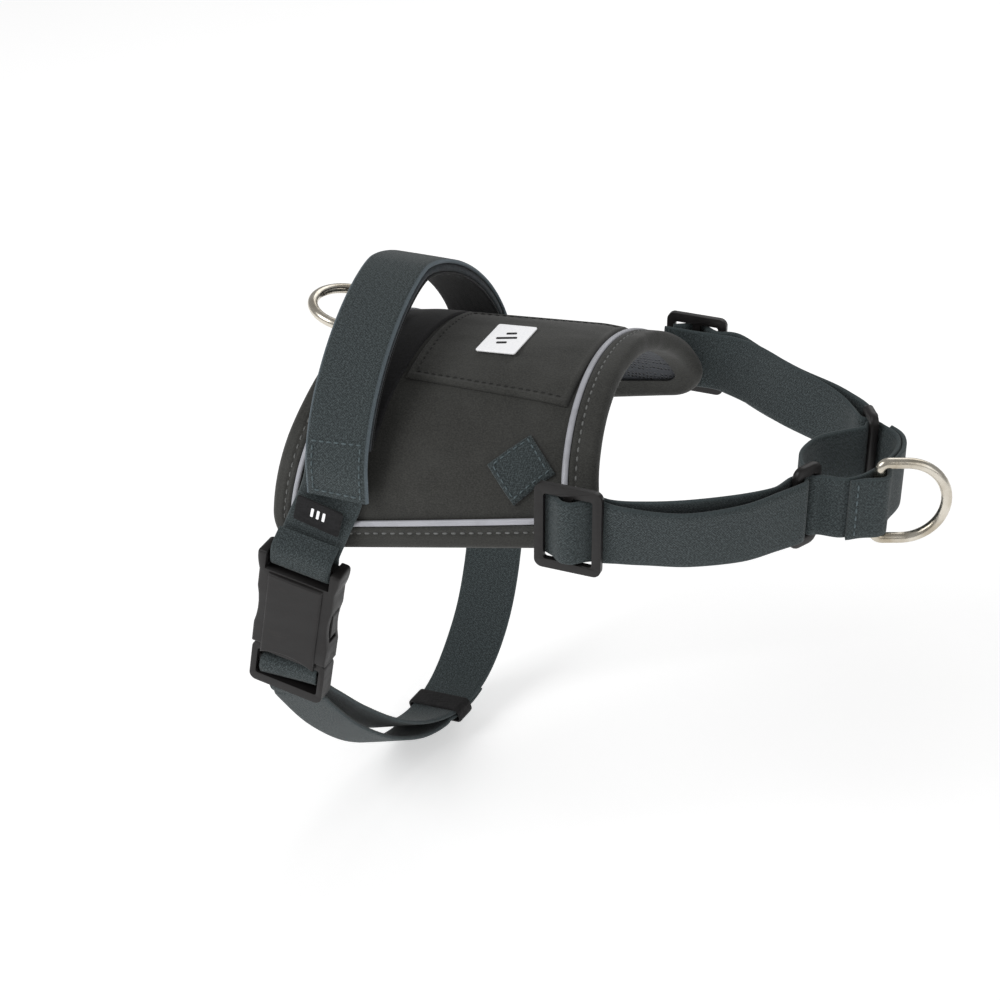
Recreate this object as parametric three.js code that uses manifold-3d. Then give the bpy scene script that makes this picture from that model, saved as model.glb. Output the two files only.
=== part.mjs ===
// Dog harness vest: a padded saddle with a grab handle, a buckled girth strap, and an adjustable
// chest strap that ends in a control loop with a leash ring.
// Millimetres. +X towards the dog's head, +Y towards the dog's left side, +Z up.
// The origin is on the underside of the saddle's ridge, in the plane of the handle and girth strap.
import * as THREE from "three";
import { mergeVertices } from "three/addons/utils/BufferGeometryUtils.js";
import Module from "manifold-3d";

const wasm = await Module();
wasm.setup();

// ---------------------------------------------------------------- driving dimensions
const gap = 0.3; // kept between pieces that touch
const webWidth = 25; // every strap
const webThick = 1.7;

// Saddle: a crown arc, two shoulder arcs and straight sides, swept along X.
const crownRadius = 82;
const crownAngle = THREE.MathUtils.degToRad(39); // from the ridge to the start of the shoulder
const shoulderRadius = 38;
const ridgeSlope = 0.08; // rise of the ridge towards the front
const liningThick = 1.5;
const shellThick = 3;
const saddleFront = 92; // at the ridge
const saddleFrontFlare = 13; // how much further forward the sides reach
const saddleRear = -23.5;
const saddleRearFlare = 10;
const rearTuck = 0.1; // share by which the rear edge is narrower
const rearTuckFrom = -5;
const rearTuckLength = 28;
const saddleHalfGirth = 102.5; // ridge to bottom edge along the surface, at the handle
const bottomSlope = 0.145; // the bottom edge rises towards the front
const saddleCorner = 15;

const bindingWidth = 10;
const bindingThick = 0.8;
const pipingWidth = 2.4;
const pipingHeight = 1.6;

const panelRear = 13; // top panel
const panelFront = 79;
const panelHalfRear = 30;
const panelHalfFront = 35;
const panelThick = 1;
const labelLength = 24; // across the back
const labelWidth = 16;
const labelThick = 0.8;
const labelCentre = 43;
const labelAside = -3; // towards the right side
const bandRear = -9.5; // back band under the handle
const bandFront = 11;
const bandHalf = 58;
const bandThick = 1.2;

// Handle: an arch over the back; its feet are sewn onto the girth webbing at each side.
const handleTop = 34.5; // outer face above the origin
const handleFoot = -31; // lower end of the sewn feet
const handleSeam = -22; // height where the legs leave the saddle
const handleAhead = 2.5; // middle of the feet, ahead of the origin
const handleLean = -5; // how far the top stands ahead of the feet
const handleRoundness = 1.55; // exponent of the arch: 2 is an ellipse
const handlePadFrom = 0.1; // share of the arch where the padding starts and ends
const foamThick = 2.6;
const handleLiningThick = 1;
const foamWidth = 22;

// Girth strap.
const sewnTop = -22.6; // height of the upper end of the webbing sewn on each side
const tagWidth = 19;
const tagHeight = 11;
const tagThick = 1;
const tagDrop = 3; // from the handle's foot to the tag
const keeperLength = 9;
const keeperWall = 1.2;
const keeperPlay = 1; // between the keeper and the webbing's edges
const keeperRoom = 1.95; // between the keeper and the webbing's faces, so that it slides round the bend

// Side release buckle, in its own frame: x across, y out, z along the strap.
const buckleWidth = 32;
const buckleEar = 34.5;
const socketLength = 44;
const socketThick = 11;
const buckleLean = 10; // degrees that its lower end swings to the rear
const mouthPlace = [-17.8, -74.5, -100]; // centre of the socket's mouth
const cavityWidth = 27;
const cavityThick = 5.6;
const cavityDepth = 33;
const windowStart = 11;
const windowEnd = 25;
const webSlotWidth = 26.6;
const webSlotHeight = 4.6;
const endBar = 3;
const endBarThick = 4.5;
const plugWidth = 31.5;
const plugLength = 19;
const plugThick = 8;
const tongueWidth = 6;
const tongueThick = 3;
const prongWidth = 4;
const prongThick = 4.4;
const prongLength = 24;
const prongPlay = 0.5;
const barRelief = 2.4; // how far the plug's middle bar lies behind its face, for the webbing over it

// Rings.
const wire = 4; // leash rings
const ringPlay = 1; // between a ring's bends and the webbing it holds
const frontRingHeight = webWidth + 2 * ringPlay + 2 * wire;
const frontRingDepth = 29;
const frontRingRaise = 0.8; // the ring rides this far above the middle of its webbing
const frontRingTurn = 22; // degrees from straight ahead towards the dog's left
const rearTabWidth = 24;
const rearRingWidth = rearTabWidth + 2 * ringPlay + 2 * wire;
const rearRingDepth = 25;
const rearRingPlace = -18; // bar, behind the handle's plane
const rearRingRaise = 12; // degrees above level
const loopWire = 3.4; // plastic loops of the chest strap
const loopLength = 29; // between the middles of the short sides
const loopDepth = 9.6; // between the middles of the long sides
const loopPlace = [164.5, 29]; // the right loop's rear bar, ahead of and out from the origin
const loopHeading = 62; // degrees, from the rear bar to the front bar, inwards
const leftLonger = 11.5; // the left chest strap is let out by this much

// Adjusters.
const glidePlace = 95; // middle bar, ahead of the origin
const glideLength = 25;
const glideHeight = 34;
const glideThick = 2.4;
const glideBar = 3.4;
const glideMiddle = 3;
const chestHeight = -23; // middle of the chest strap
const glideRaise = 2; // how much higher the adjusters sit
const chestLean = 12; // degrees that its top edge leans outwards beside the saddle
const patchSide = 18.4;
const patchPlace = [70.2, 62]; // ahead of the origin, and down from the ridge along the surface

// ---------------------------------------------------------------- general shape helpers
const V = (x, y, z) => new THREE.Vector3(x, y, z);

// A closed solid skinned over rings of points; the rings form a loop, or the end rings are capped.
function skin(rings, closed) {
  const n = rings[0].length;
  const positions = rings.flat().flatMap((p) => [p.x, p.y, p.z]);
  const faces = [];
  const last = closed ? rings.length : rings.length - 1;
  for (let i = 0; i < last; i++) {
    const a = i * n;
    const b = ((i + 1) % rings.length) * n;
    for (let j = 0; j < n; j++) {
      const k = (j + 1) % n;
      faces.push(a + j, a + k, b + k, a + j, b + k, b + j);
    }
  }
  if (!closed) {
    const end = (rings.length - 1) * n;
    for (let j = 1; j < n - 1; j++) {
      faces.push(0, j + 1, j);
      faces.push(end, end + j, end + j + 1);
    }
  }
  const g = new THREE.BufferGeometry();
  g.setAttribute("position", new THREE.Float32BufferAttribute(positions, 3));
  g.setIndex(faces);
  return outward(g);
}

// A closed solid between two equal grids of points (rows of columns).
function slab(top, bottom) {
  const rows = top.length;
  const cols = top[0].length;
  const positions = [...top.flat(), ...bottom.flat()].flatMap((p) => [p.x, p.y, p.z]);
  const at = (i, j) => i * cols + j;
  const under = rows * cols;
  const faces = [];
  const quad = (a, b, c, d) => faces.push(a, b, c, a, c, d);
  for (let i = 0; i < rows - 1; i++) {
    for (let j = 0; j < cols - 1; j++) {
      quad(at(i, j), at(i, j + 1), at(i + 1, j + 1), at(i + 1, j));
      quad(under + at(i, j), under + at(i + 1, j), under + at(i + 1, j + 1), under + at(i, j + 1));
    }
  }
  const border = [];
  for (let j = 0; j < cols - 1; j++) border.push(at(0, j));
  for (let i = 0; i < rows - 1; i++) border.push(at(i, cols - 1));
  for (let j = cols - 1; j > 0; j--) border.push(at(rows - 1, j));
  for (let i = rows - 1; i > 0; i--) border.push(at(i, 0));
  border.forEach((a, i) => {
    const b = border[(i + 1) % border.length];
    quad(a, under + a, under + b, b);
  });
  const g = new THREE.BufferGeometry();
  g.setAttribute("position", new THREE.Float32BufferAttribute(positions, 3));
  g.setIndex(faces);
  return outward(g);
}

// Turns the faces round where they enclose a negative volume.
function outward(g) {
  const p = g.getAttribute("position");
  const index = g.getIndex().array;
  let volume = 0;
  for (let i = 0; i < index.length; i += 3) {
    const [a, b, c] = [0, 1, 2].map((k) => new THREE.Vector3().fromBufferAttribute(p, index[i + k]));
    volume += a.dot(b.cross(c));
  }
  if (volume < 0) {
    for (let i = 0; i < index.length; i += 3) [index[i], index[i + 1]] = [index[i + 1], index[i]];
  }
  return g;
}

// A smooth run through hand-set points, with its direction at each step.
function run(points, steps, closed = false) {
  const curve = new THREE.CatmullRomCurve3(points, closed, "catmullrom", 0.5);
  const count = closed ? steps : steps + 1;
  return Array.from({ length: count }, (_, i) => {
    const t = i / steps;
    return { at: curve.getPoint(t), along: curve.getTangent(t), t };
  });
}

// A flat strap along a run: "across" gives its width direction at each station, and "lift" moves
// it off the run to the right-hand side.
function strap(stations, across, options = {}) {
  const { width = webWidth, thick = webThick, lift = () => 0, closed = false } = options;
  return skin(stations.map((s) => {
    const w = across(s).clone();
    w.addScaledVector(s.along, -w.dot(s.along)).normalize();
    const n = s.along.clone().cross(w).normalize();
    const corner = (a, b) => s.at.clone().addScaledVector(w, a * width / 2)
      .addScaledVector(n, lift(s) + b * thick / 2);
    return [corner(-1, -1), corner(1, -1), corner(1, 1), corner(-1, 1)];
  }), closed);
}

// A round wire bent along a closed flat path; "normal" stands on the path's plane.
function wireRing(path, normal, thickness, sides = 10) {
  const n = path.length;
  return skin(path.map((p, i) => {
    const along = path[(i + 1) % n].clone().sub(path[(i + n - 1) % n]).normalize();
    const side = along.clone().cross(normal).normalize();
    return Array.from({ length: sides }, (_, k) => {
      const a = (2 * Math.PI * k) / sides;
      return p.clone().addScaledVector(side, Math.cos(a) * thickness / 2)
        .addScaledVector(normal, Math.sin(a) * thickness / 2);
    });
  }), true);
}

// A D: a straight bar along "bar", two short legs and a round bow towards "reach". Length and
// depth are outside sizes; the path is the wire's middle line.
function dPath(centre, bar, reach, length, depth, thickness, bend = 3) {
  const half = (length - thickness) / 2;
  const bow = Math.min(half, depth - thickness - bend);
  const leg = depth - thickness - bow;
  const points = [[-half + bend, 0], [0, 0], [half - bend, 0]];
  const quarter = (cx, cy, r, from) => {
    for (let i = 1; i <= 3; i++) {
      const a = from + (Math.PI * i) / 6;
      points.push([cx + r * Math.cos(a), cy + r * Math.sin(a)]);
    }
  };
  quarter(half - bend, bend, bend, -Math.PI / 2);
  for (let i = 0; i <= 16; i++) {
    const a = (Math.PI * i) / 16;
    if (leg > bend + 0.5 || i > 0) points.push([half * Math.cos(a), leg + bow * Math.sin(a)]);
  }
  if (leg <= bend + 0.5) points.pop();
  points.push([-half, bend]);
  quarter(-half + bend, bend, bend, Math.PI);
  points.pop();
  return points.map(([b, r]) => centre.clone().addScaledVector(bar, b).addScaledVector(reach, r));
}

// A rectangle with round corners as a closed path of points.
function loopPath(centre, bar, reach, length, depth, bend = 2.2) {
  const corners = [[1, 1], [-1, 1], [-1, -1], [1, -1]];
  const points = corners.flatMap(([sx, sy], i) => [0, 1, 2, 3].map((k) => {
    const a = (Math.PI / 2) * i + (Math.PI * k) / 6;
    return [sx * (length / 2 - bend) + bend * Math.cos(a), sy * (depth / 2 - bend) + bend * Math.sin(a)];
  }));
  return points.map(([b, r]) => centre.clone().addScaledVector(bar, b).addScaledVector(reach, r));
}

// manifold-3d solids from three.js geometry, and back.
function solid(geometry) {
  const g = geometry.clone();
  g.deleteAttribute("normal");
  g.deleteAttribute("uv");
  const merged = mergeVertices(g, 1e-4);
  return new wasm.Manifold(new wasm.Mesh({
    numProp: 3,
    vertProperties: new Float32Array(merged.attributes.position.array),
    triVerts: new Uint32Array(merged.index.array),
  }));
}

function geometryOf(manifold) {
  const m = manifold.getMesh();
  const g = new THREE.BufferGeometry();
  g.setAttribute("position", new THREE.BufferAttribute(new Float32Array(m.vertProperties), 3));
  g.setIndex(new THREE.BufferAttribute(new Uint32Array(m.triVerts), 1));
  return g;
}

function box(w, d, h, x = 0, y = 0, z = 0) {
  return new THREE.BoxGeometry(w, d, h).translate(x, y, z);
}

// A rectangle with round corners as a shape or a hole.
function roundRect(into, w, h, r, x = 0, y = 0) {
  into.moveTo(x - w / 2 + r, y - h / 2);
  into.lineTo(x + w / 2 - r, y - h / 2);
  into.absarc(x + w / 2 - r, y - h / 2 + r, r, -Math.PI / 2, 0);
  into.lineTo(x + w / 2, y + h / 2 - r);
  into.absarc(x + w / 2 - r, y + h / 2 - r, r, 0, Math.PI / 2);
  into.lineTo(x - w / 2 + r, y + h / 2);
  into.absarc(x - w / 2 + r, y + h / 2 - r, r, Math.PI / 2, Math.PI);
  into.lineTo(x - w / 2, y - h / 2 + r);
  into.absarc(x - w / 2 + r, y - h / 2 + r, r, Math.PI, 1.5 * Math.PI);
  return into;
}

const finish = {
  shell: new THREE.MeshStandardMaterial({ color: 0x3c3c3a, roughness: 0.9, metalness: 0 }),
  lining: new THREE.MeshStandardMaterial({ color: 0x4b4d52, roughness: 0.95, metalness: 0 }),
  webbing: new THREE.MeshStandardMaterial({ color: 0x343c3e, roughness: 0.85, metalness: 0 }),
  black: new THREE.MeshStandardMaterial({ color: 0x1c1c1d, roughness: 0.85, metalness: 0 }),
  piping: new THREE.MeshStandardMaterial({ color: 0xa5a6ac, roughness: 0.4, metalness: 0.2 }),
  label: new THREE.MeshStandardMaterial({ color: 0xeeeef5, roughness: 0.5, metalness: 0 }),
  foam: new THREE.MeshStandardMaterial({ color: 0x5f6c76, roughness: 0.9, metalness: 0 }),
  plastic: new THREE.MeshStandardMaterial({ color: 0x262425, roughness: 0.45, metalness: 0 }),
  steel: new THREE.MeshStandardMaterial({ color: 0xbeb7aa, roughness: 0.25, metalness: 1 }),
};

const group = new THREE.Group();

function add(name, geometry, material, parent = group) {
  const mesh = new THREE.Mesh(geometry, material);
  mesh.name = name;
  parent.add(mesh);
  return mesh;
}

// ---------------------------------------------------------------- saddle
const saddleTop = liningThick + gap + shellThick; // outer face of the shell above the lining
const crownEnd = crownRadius * crownAngle;
const shoulderTurn = Math.PI / 2 - crownAngle;
const shoulderEnd = crownEnd + shoulderRadius * shoulderTurn;
// The arcs are those of the outer face.
const crownHalf = crownRadius * Math.sin(crownAngle);
const crownDrop = crownRadius * (1 - Math.cos(crownAngle));
const saddleHalf = crownHalf + shoulderRadius * (1 - Math.sin(crownAngle));

// The point at x, at a distance s along the outer face from the ridge (positive to +Y), and at a
// height h above the lining's inner face.
function wrap(x, s, h) {
  const a = Math.abs(s);
  let turn;
  let y;
  let drop;
  if (a < crownEnd) {
    turn = a / crownRadius;
    y = crownRadius * Math.sin(turn);
    drop = crownRadius * (1 - Math.cos(turn));
  } else if (a < shoulderEnd) {
    turn = crownAngle + (a - crownEnd) / shoulderRadius;
    y = crownHalf + shoulderRadius * (Math.sin(turn) - Math.sin(crownAngle));
    drop = crownDrop + shoulderRadius * (Math.cos(crownAngle) - Math.cos(turn));
  } else {
    turn = Math.PI / 2;
    y = saddleHalf;
    drop = crownDrop + shoulderRadius * Math.cos(crownAngle) + a - shoulderEnd;
  }
  const off = h - saddleTop;
  const tuck = 1 - rearTuck * Math.pow(Math.max(0, rearTuckFrom - x) / rearTuckLength, 2);
  return V(
    x,
    Math.sign(s) * (y + off * Math.sin(turn)) * tuck,
    saddleTop + ridgeSlope * x - drop + off * Math.cos(turn),
  );
}

// Rows across the saddle: straight rows between the corners, then rows round each corner.
const saddleRows = [];
for (let i = 6; i >= 1; i--) saddleRows.push({ side: -1, w: 1, corner: (i * Math.PI) / 12 });
for (let i = -14; i <= 14; i++) saddleRows.push({ side: Math.sign(i) || 1, w: Math.abs(i) / 14, corner: 0 });
for (let i = 1; i <= 6; i++) saddleRows.push({ side: 1, w: 1, corner: (i * Math.PI) / 12 });

// A flat pattern point: u runs from the rear edge to the front edge, "inset" is the distance
// kept from the outline.
function pattern(u, row, inset) {
  const r = saddleCorner - inset;
  const reach = (x) => (saddleHalfGirth - bottomSlope * x - saddleCorner) * row.w + r * Math.sin(row.corner);
  const share = Math.pow(reach(0) / saddleHalfGirth, 2);
  const trim = r * (1 - Math.cos(row.corner)) + inset;
  const rear = saddleRear - saddleRearFlare * share + trim;
  const front = saddleFront + saddleFrontFlare * share - trim;
  const x = rear + (front - rear) * u;
  return { x, s: row.side * reach(x) };
}

function saddleSheet(inset, low, high, columns = 14) {
  const grid = (h) => saddleRows.map((row) => Array.from({ length: columns + 1 }, (_, j) => {
    const p = pattern(j / columns, row, inset);
    return wrap(p.x, p.s, h);
  }));
  return slab(grid(high), grid(low));
}

// A strip that follows the saddle's outline; the profile is a list of [inset, height] points.
function edgeStrip(profile) {
  const stations = [];
  saddleRows.forEach((row) => stations.push([1, row]));
  const endRow = saddleRows[saddleRows.length - 1];
  for (let j = 13; j >= 1; j--) stations.push([j / 14, endRow]);
  [...saddleRows].reverse().forEach((row) => stations.push([0, row]));
  for (let j = 1; j <= 13; j++) stations.push([j / 14, saddleRows[0]]);
  return skin(stations.map(([u, row]) => profile.map(([inset, h]) => {
    const p = pattern(u, row, inset);
    return wrap(p.x, p.s, h);
  })), true);
}

const coreInset = bindingThick + 2.6 * gap;
add("saddle_lining", saddleSheet(coreInset, 0, liningThick), finish.lining);
add("saddle_shell", saddleSheet(coreInset, liningThick + gap, saddleTop), finish.shell);

const bindGap = 0.42; // the binding stands a little further off than flat pieces do
const bindLow = -bindGap - bindingThick;
const bindHigh = saddleTop + bindGap + bindingThick;
add("edge_binding", edgeStrip([
  [0, bindLow],
  [0, bindHigh],
  [bindingWidth, bindHigh],
  [bindingWidth, saddleTop + bindGap],
  [bindingThick, saddleTop + bindGap],
  [bindingThick, -bindGap],
  [bindingWidth, -bindGap],
  [bindingWidth, bindLow],
]), finish.shell);

const pipeInset = bindingWidth + gap;
add("reflective_piping", edgeStrip([
  [pipeInset, saddleTop + gap],
  [pipeInset, saddleTop + gap + pipingHeight],
  [pipeInset + pipingWidth, saddleTop + gap + pipingHeight],
  [pipeInset + pipingWidth, saddleTop + gap],
]), finish.piping);

// A patch on the saddle's outer face between two edges given as functions of x.
function facePatch(x0, x1, half0, half1, low, thick, rows, columns) {
  const grid = (h) => Array.from({ length: rows + 1 }, (_, i) => (
    Array.from({ length: columns + 1 }, (_, j) => {
      const x = x0 + ((x1 - x0) * j) / columns;
      const half = half0 + ((half1 - half0) * j) / columns;
      return wrap(x, half * ((2 * i) / rows - 1), h);
    })));
  return slab(grid(low + thick), grid(low));
}

const onShell = saddleTop + gap;
add("top_panel", facePatch(panelRear, panelFront, panelHalfRear, panelHalfFront, onShell, panelThick, 16, 6),
  finish.shell);
add("back_band", facePatch(bandRear, bandFront, bandHalf, bandHalf, onShell, bandThick, 24, 2),
  finish.black);

// The label is stiff and flat, and lies on the crown of the top panel.
const labelMesh = add("top_label", box(labelWidth, labelLength, labelThick), finish.label);
labelMesh.position.copy(wrap(labelCentre, 1e-6, onShell + panelThick + gap + labelThick / 2));
labelMesh.position.y = labelAside;
labelMesh.rotation.y = -Math.atan(ridgeSlope);

// ---------------------------------------------------------------- side release buckle
const buckle = new THREE.Group();
buckle.position.set(...mouthPlace);
buckle.rotation.y = THREE.MathUtils.degToRad(buckleLean);
buckle.updateMatrixWorld(true);
group.add(buckle);
const fromBuckle = (x, y, z) => V(x, y, z).applyMatrix4(buckle.matrixWorld);

// The socket: a shell with ears at its top, a cavity from the mouth, a window in each side and a
// slot for the webbing. Its outer face looks towards -Y.
function socketGeometry() {
  const half = buckleWidth / 2;
  const ear = buckleEar / 2;
  const outline = new THREE.Shape();
  outline.moveTo(-half, 0);
  outline.lineTo(half, 0);
  outline.lineTo(half, windowStart - 2);
  outline.quadraticCurveTo(half - 2.2, (windowStart + windowEnd) / 2, half, windowEnd + 2);
  outline.lineTo(half, socketLength - 9);
  outline.quadraticCurveTo(ear, socketLength - 5, ear, socketLength - 2);
  outline.quadraticCurveTo(ear, socketLength, ear - 2, socketLength);
  outline.lineTo(-ear + 2, socketLength);
  outline.quadraticCurveTo(-ear, socketLength, -ear, socketLength - 2);
  outline.quadraticCurveTo(-ear, socketLength - 5, -half, socketLength - 9);
  outline.lineTo(-half, windowEnd + 2);
  outline.quadraticCurveTo(-half + 2.2, (windowStart + windowEnd) / 2, -half, windowStart - 2);
  const bevel = 1.2;
  const body = new THREE.ExtrudeGeometry(outline, {
    depth: socketThick - 2 * bevel,
    bevelEnabled: true,
    bevelThickness: bevel,
    bevelSize: bevel,
    bevelOffset: -bevel,
    bevelSegments: 2,
    curveSegments: 5,
  }).translate(0, 0, -socketThick / 2 + bevel).rotateX(Math.PI / 2);
  const slotMiddle = socketLength - endBar - webSlotHeight / 2;
  const above = (socketThick - endBarThick) / 2;
  const barTop = socketLength - webSlotHeight - endBar;
  const windowMiddle = (windowStart + windowEnd) / 2;
  const cutters = [
    box(cavityWidth, cavityThick, cavityDepth + 1, 0, 0, (cavityDepth - 1) / 2),
    box(buckleEar + 2, cavityThick, windowEnd - windowStart, 0, 0, windowMiddle),
    box(webSlotWidth, socketThick + 2, webSlotHeight, 0, 0, slotMiddle),
    ...[-1, 1].map((side) => box(webSlotWidth, above, endBar + webSlotHeight + 1,
      0, side * (socketThick / 2 - above / 2 + 0.01), barTop + (endBar + webSlotHeight + 1) / 2)),
  ];
  return geometryOf(cutters.reduce((made, c) => made.subtract(solid(c)), solid(body)));
}
add("buckle_socket", socketGeometry(), finish.plastic, buckle);

// The plug: a base with a ladder of two webbing slots, and a middle tongue.
const plugBars = [-5.8, -13.2]; // middles of the two webbing slots below the mouth
function plugGeometry() {
  const shape = roundRect(new THREE.Shape(), plugWidth, plugLength, 3, 0, -plugLength / 2 - gap);
  shape.holes = plugBars.map((z) => roundRect(new THREE.Path(), webSlotWidth, webSlotHeight, 1, 0, z));
  const base = new THREE.ExtrudeGeometry(shape, { depth: plugThick, bevelEnabled: false, curveSegments: 4 })
    .translate(0, 0, -plugThick / 2).rotateX(Math.PI / 2);
  const reach = cavityDepth - 4;
  const tongue = box(tongueWidth, tongueThick, reach + 2, 0, 0, reach / 2 - 1);
  const relief = box(webSlotWidth, barRelief, plugBars[0] - plugBars[1],
    0, (barRelief - plugThick) / 2 - 0.01, (plugBars[0] + plugBars[1]) / 2);
  return geometryOf(solid(base).subtract(solid(relief)).add(solid(tongue)));
}
add("buckle_plug", plugGeometry(), finish.plastic, buckle);

// The two prongs spring outwards into the socket's windows and carry a thumb pad there.
function prongGeometry(side) {
  const inner = cavityWidth / 2 - prongPlay - prongWidth;
  const outer = cavityWidth / 2 - prongPlay;
  const pad = buckleWidth / 2 - 0.4;
  const outline = new THREE.Shape();
  outline.moveTo(inner, gap);
  outline.lineTo(outer, gap);
  outline.lineTo(outer, windowStart + prongPlay);
  outline.quadraticCurveTo(pad, windowStart + prongPlay, pad, windowStart + 3);
  outline.lineTo(pad, windowEnd - 2);
  outline.lineTo(pad - 1, windowEnd - prongPlay);
  outline.lineTo(outer - 1.5, windowEnd - prongPlay);
  outline.lineTo(inner + 0.5, prongLength);
  outline.lineTo(inner + 1, windowStart);
  return new THREE.ExtrudeGeometry(outline, { depth: prongThick, bevelEnabled: false, curveSegments: 4 })
    .translate(0, 0, -prongThick / 2).rotateX(Math.PI / 2).scale(side, 1, 1);
}
for (const [name, side] of [["front_prong", 1], ["rear_prong", -1]]) {
  const geometry = prongGeometry(side);
  add(name, side < 0 ? flipped(geometry) : geometry, finish.plastic, buckle);
}

// A mirrored geometry's faces, turned back outwards.
function flipped(geometry) {
  const g = mergeVertices(geometry.deleteAttribute("normal").deleteAttribute("uv"), 1e-4);
  return outward(g);
}

// ---------------------------------------------------------------- sewn girth ends and handle
const alongX = () => V(1, 0, 0);
const sideFace = saddleHalf + gap; // just off the saddle's straight side
const sewnMiddle = sideFace + webThick / 2;
const topBarGap = endBarThick / 2 + gap + 0.2 + webThick / 2;
const slotMiddle = socketLength - endBar - webSlotHeight / 2;
const tailGap = webThick + gap;

// Both ends step out over the piping and the binding at the saddle's bottom edge.
const overEdge = saddleHalf + pipingHeight + 3.5 * gap + webThick / 2;
const edgeStep = -35; // height above which the webbing lies on the shell

// The right end runs down behind the socket's end bar, through its slot and back up in front.
const rightTab = [
  V(0.6, -sewnMiddle, sewnTop),
  V(-0.6, -sewnMiddle, -29),
  V(-2.6, -sewnMiddle - 0.3, edgeStep),
  V(-5.2, -overEdge, -42),
  fromBuckle(0, topBarGap + 0.3, socketLength + 4),
  fromBuckle(0, topBarGap, socketLength - 1.5),
  fromBuckle(0, topBarGap - 0.9, slotMiddle + 0.2),
  fromBuckle(0, 0, slotMiddle - 1),
  fromBuckle(0, -topBarGap + 0.9, slotMiddle + 0.2),
  fromBuckle(0, -topBarGap, socketLength - 1.5),
  fromBuckle(0, -topBarGap + 0.3, socketLength + 3),
  fromBuckle(0, topBarGap - tailGap + 0.2, socketLength + 8),
];
const lean = (x, z) => V(z, 0, -x).normalize();
const buckleAcross = () => V(1, 0, 0).applyQuaternion(buckle.quaternion);
add("right_girth_tab", strap(run(rightTab, 44), (s) => (s.t < 0.2 ? lean(2.4, 15) : buckleAcross())),
  finish.webbing);
const leftTab = [
  V(0, sewnMiddle, sewnTop),
  V(0.6, sewnMiddle, -29),
  V(1.2, sewnMiddle + 0.3, edgeStep),
  V(2.4, overEdge, -42),
  V(4, overEdge, -52),
  V(5.6, overEdge, -62),
];
add("left_girth_tab", strap(run(leftTab, 16), () => lean(-4, 30)), finish.webbing);

// The handle: an arch of three layers over the back.
const handleHalf = sideFace + 2 * webThick + gap + 0.6; // outer face of each leg from the middle
function handleRun(inward, from, to, steps) {
  const half = handleHalf - inward;
  const rise = handleTop - inward - handleSeam;
  const power = 2 / handleRoundness;
  const at = (share) => {
    const a = Math.PI * share;
    const y = -Math.sign(Math.cos(a)) * Math.pow(Math.abs(Math.cos(a)), power) * half;
    const up = Math.pow(Math.sin(a), power);
    return V(handleAhead + handleLean * up, y, handleSeam + rise * up);
  };
  const stations = Array.from({ length: steps + 1 }, (_, k) => {
    const share = from + ((to - from) * k) / steps;
    const before = at(Math.max(share - 1e-3, 0));
    const after = at(Math.min(share + 1e-3, 1));
    return { at: at(share), along: after.sub(before).normalize(), t: share };
  });
  if (from > 0) return stations;
  const foot = (side) => ({
    at: V(handleAhead, side * half, handleFoot),
    along: V(0, 0, -side),
    t: side > 0 ? 1 : 0,
  });
  stations[0].along = V(0, 0, 1);
  stations[steps].along = V(0, 0, -1);
  return [foot(-1), ...stations, foot(1)];
}
const handleLayers = [
  ["handle_webbing", webWidth, webThick, finish.webbing, 0],
  ["handle_foam", foamWidth, foamThick, finish.foam, handlePadFrom],
  ["handle_lining", webWidth - 1, handleLiningThick, finish.black, handlePadFrom],
];
const layerGap = 0.5; // between the handle's layers, which bend together
let layerDepth = 0;
for (const [name, width, thick, material, from] of handleLayers) {
  const stations = handleRun(layerDepth + thick / 2, from, 1 - from, 40);
  add(name, strap(stations, alongX, { width, thick }), material);
  layerDepth += thick + layerGap;
}

// Size tag, sewn over the right girth end below the handle's foot.
const tagMesh = add("size_tag", box(tagWidth, tagThick, tagHeight), finish.black);
const tagOut = overEdge + webThick / 2 + 2.6 * gap + tagThick / 2;
tagMesh.position.set(-5.2, -tagOut, handleFoot - tagDrop - tagHeight / 2);
tagMesh.rotation.y = Math.atan2(3.5, 14);

// ---------------------------------------------------------------- belly strap
const strapUpper = overEdge + tailGap + gap; // the belly strap is sewn outside the left end
const bellyAcross = (s) => {
  const sway = Math.sin(Math.PI * Math.min(1, s.t / 0.88));
  return V(0.95, 0.45 * sway * s.t, 0.3 * sway - 0.12 * s.t).normalize();
};
const bellyRun = [
  fromBuckle(0, plugThick / 2 + gap + webThick, plugBars[1]),
  V(-20.6, -67, -121),
  V(-18.4, -57, -134),
  V(-15.2, -43.5, -150),
  V(-10.6, -25.5, -168),
  V(-5.6, -6.5, -181.5),
  V(-1, 12, -187),
  V(2.5, 29.5, -184),
  V(5, 43.5, -174),
  V(7.5, 54.5, -156),
  V(9, 62, -132),
  V(9, 67.5, -106),
  V(8, strapUpper - 0.2, -80),
  V(6, strapUpper, -62),
  V(3.6, strapUpper, -45),
];
const bellySteps = 70;
const belly = run(bellyRun, bellySteps);
add("girth_strap", strap(belly, bellyAcross), finish.webbing);

// The free tail of the same webbing: outside the main strap, standing off it near the buckle.
const tailFrom = 0.07;
const tailEnd = 0.52;
const tailBulge = 6;
const tail = belly.filter((s) => s.t >= tailFrom && s.t <= tailEnd);
const standOff = (t) => Math.sin(Math.PI * Math.pow(Math.min(1, t / 0.42), 1.25));
const tailLift = (s) => tailGap + tailBulge * standOff(s.t);
add("girth_tail", strap(tail, bellyAcross, { lift: tailLift }), finish.webbing);

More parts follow.
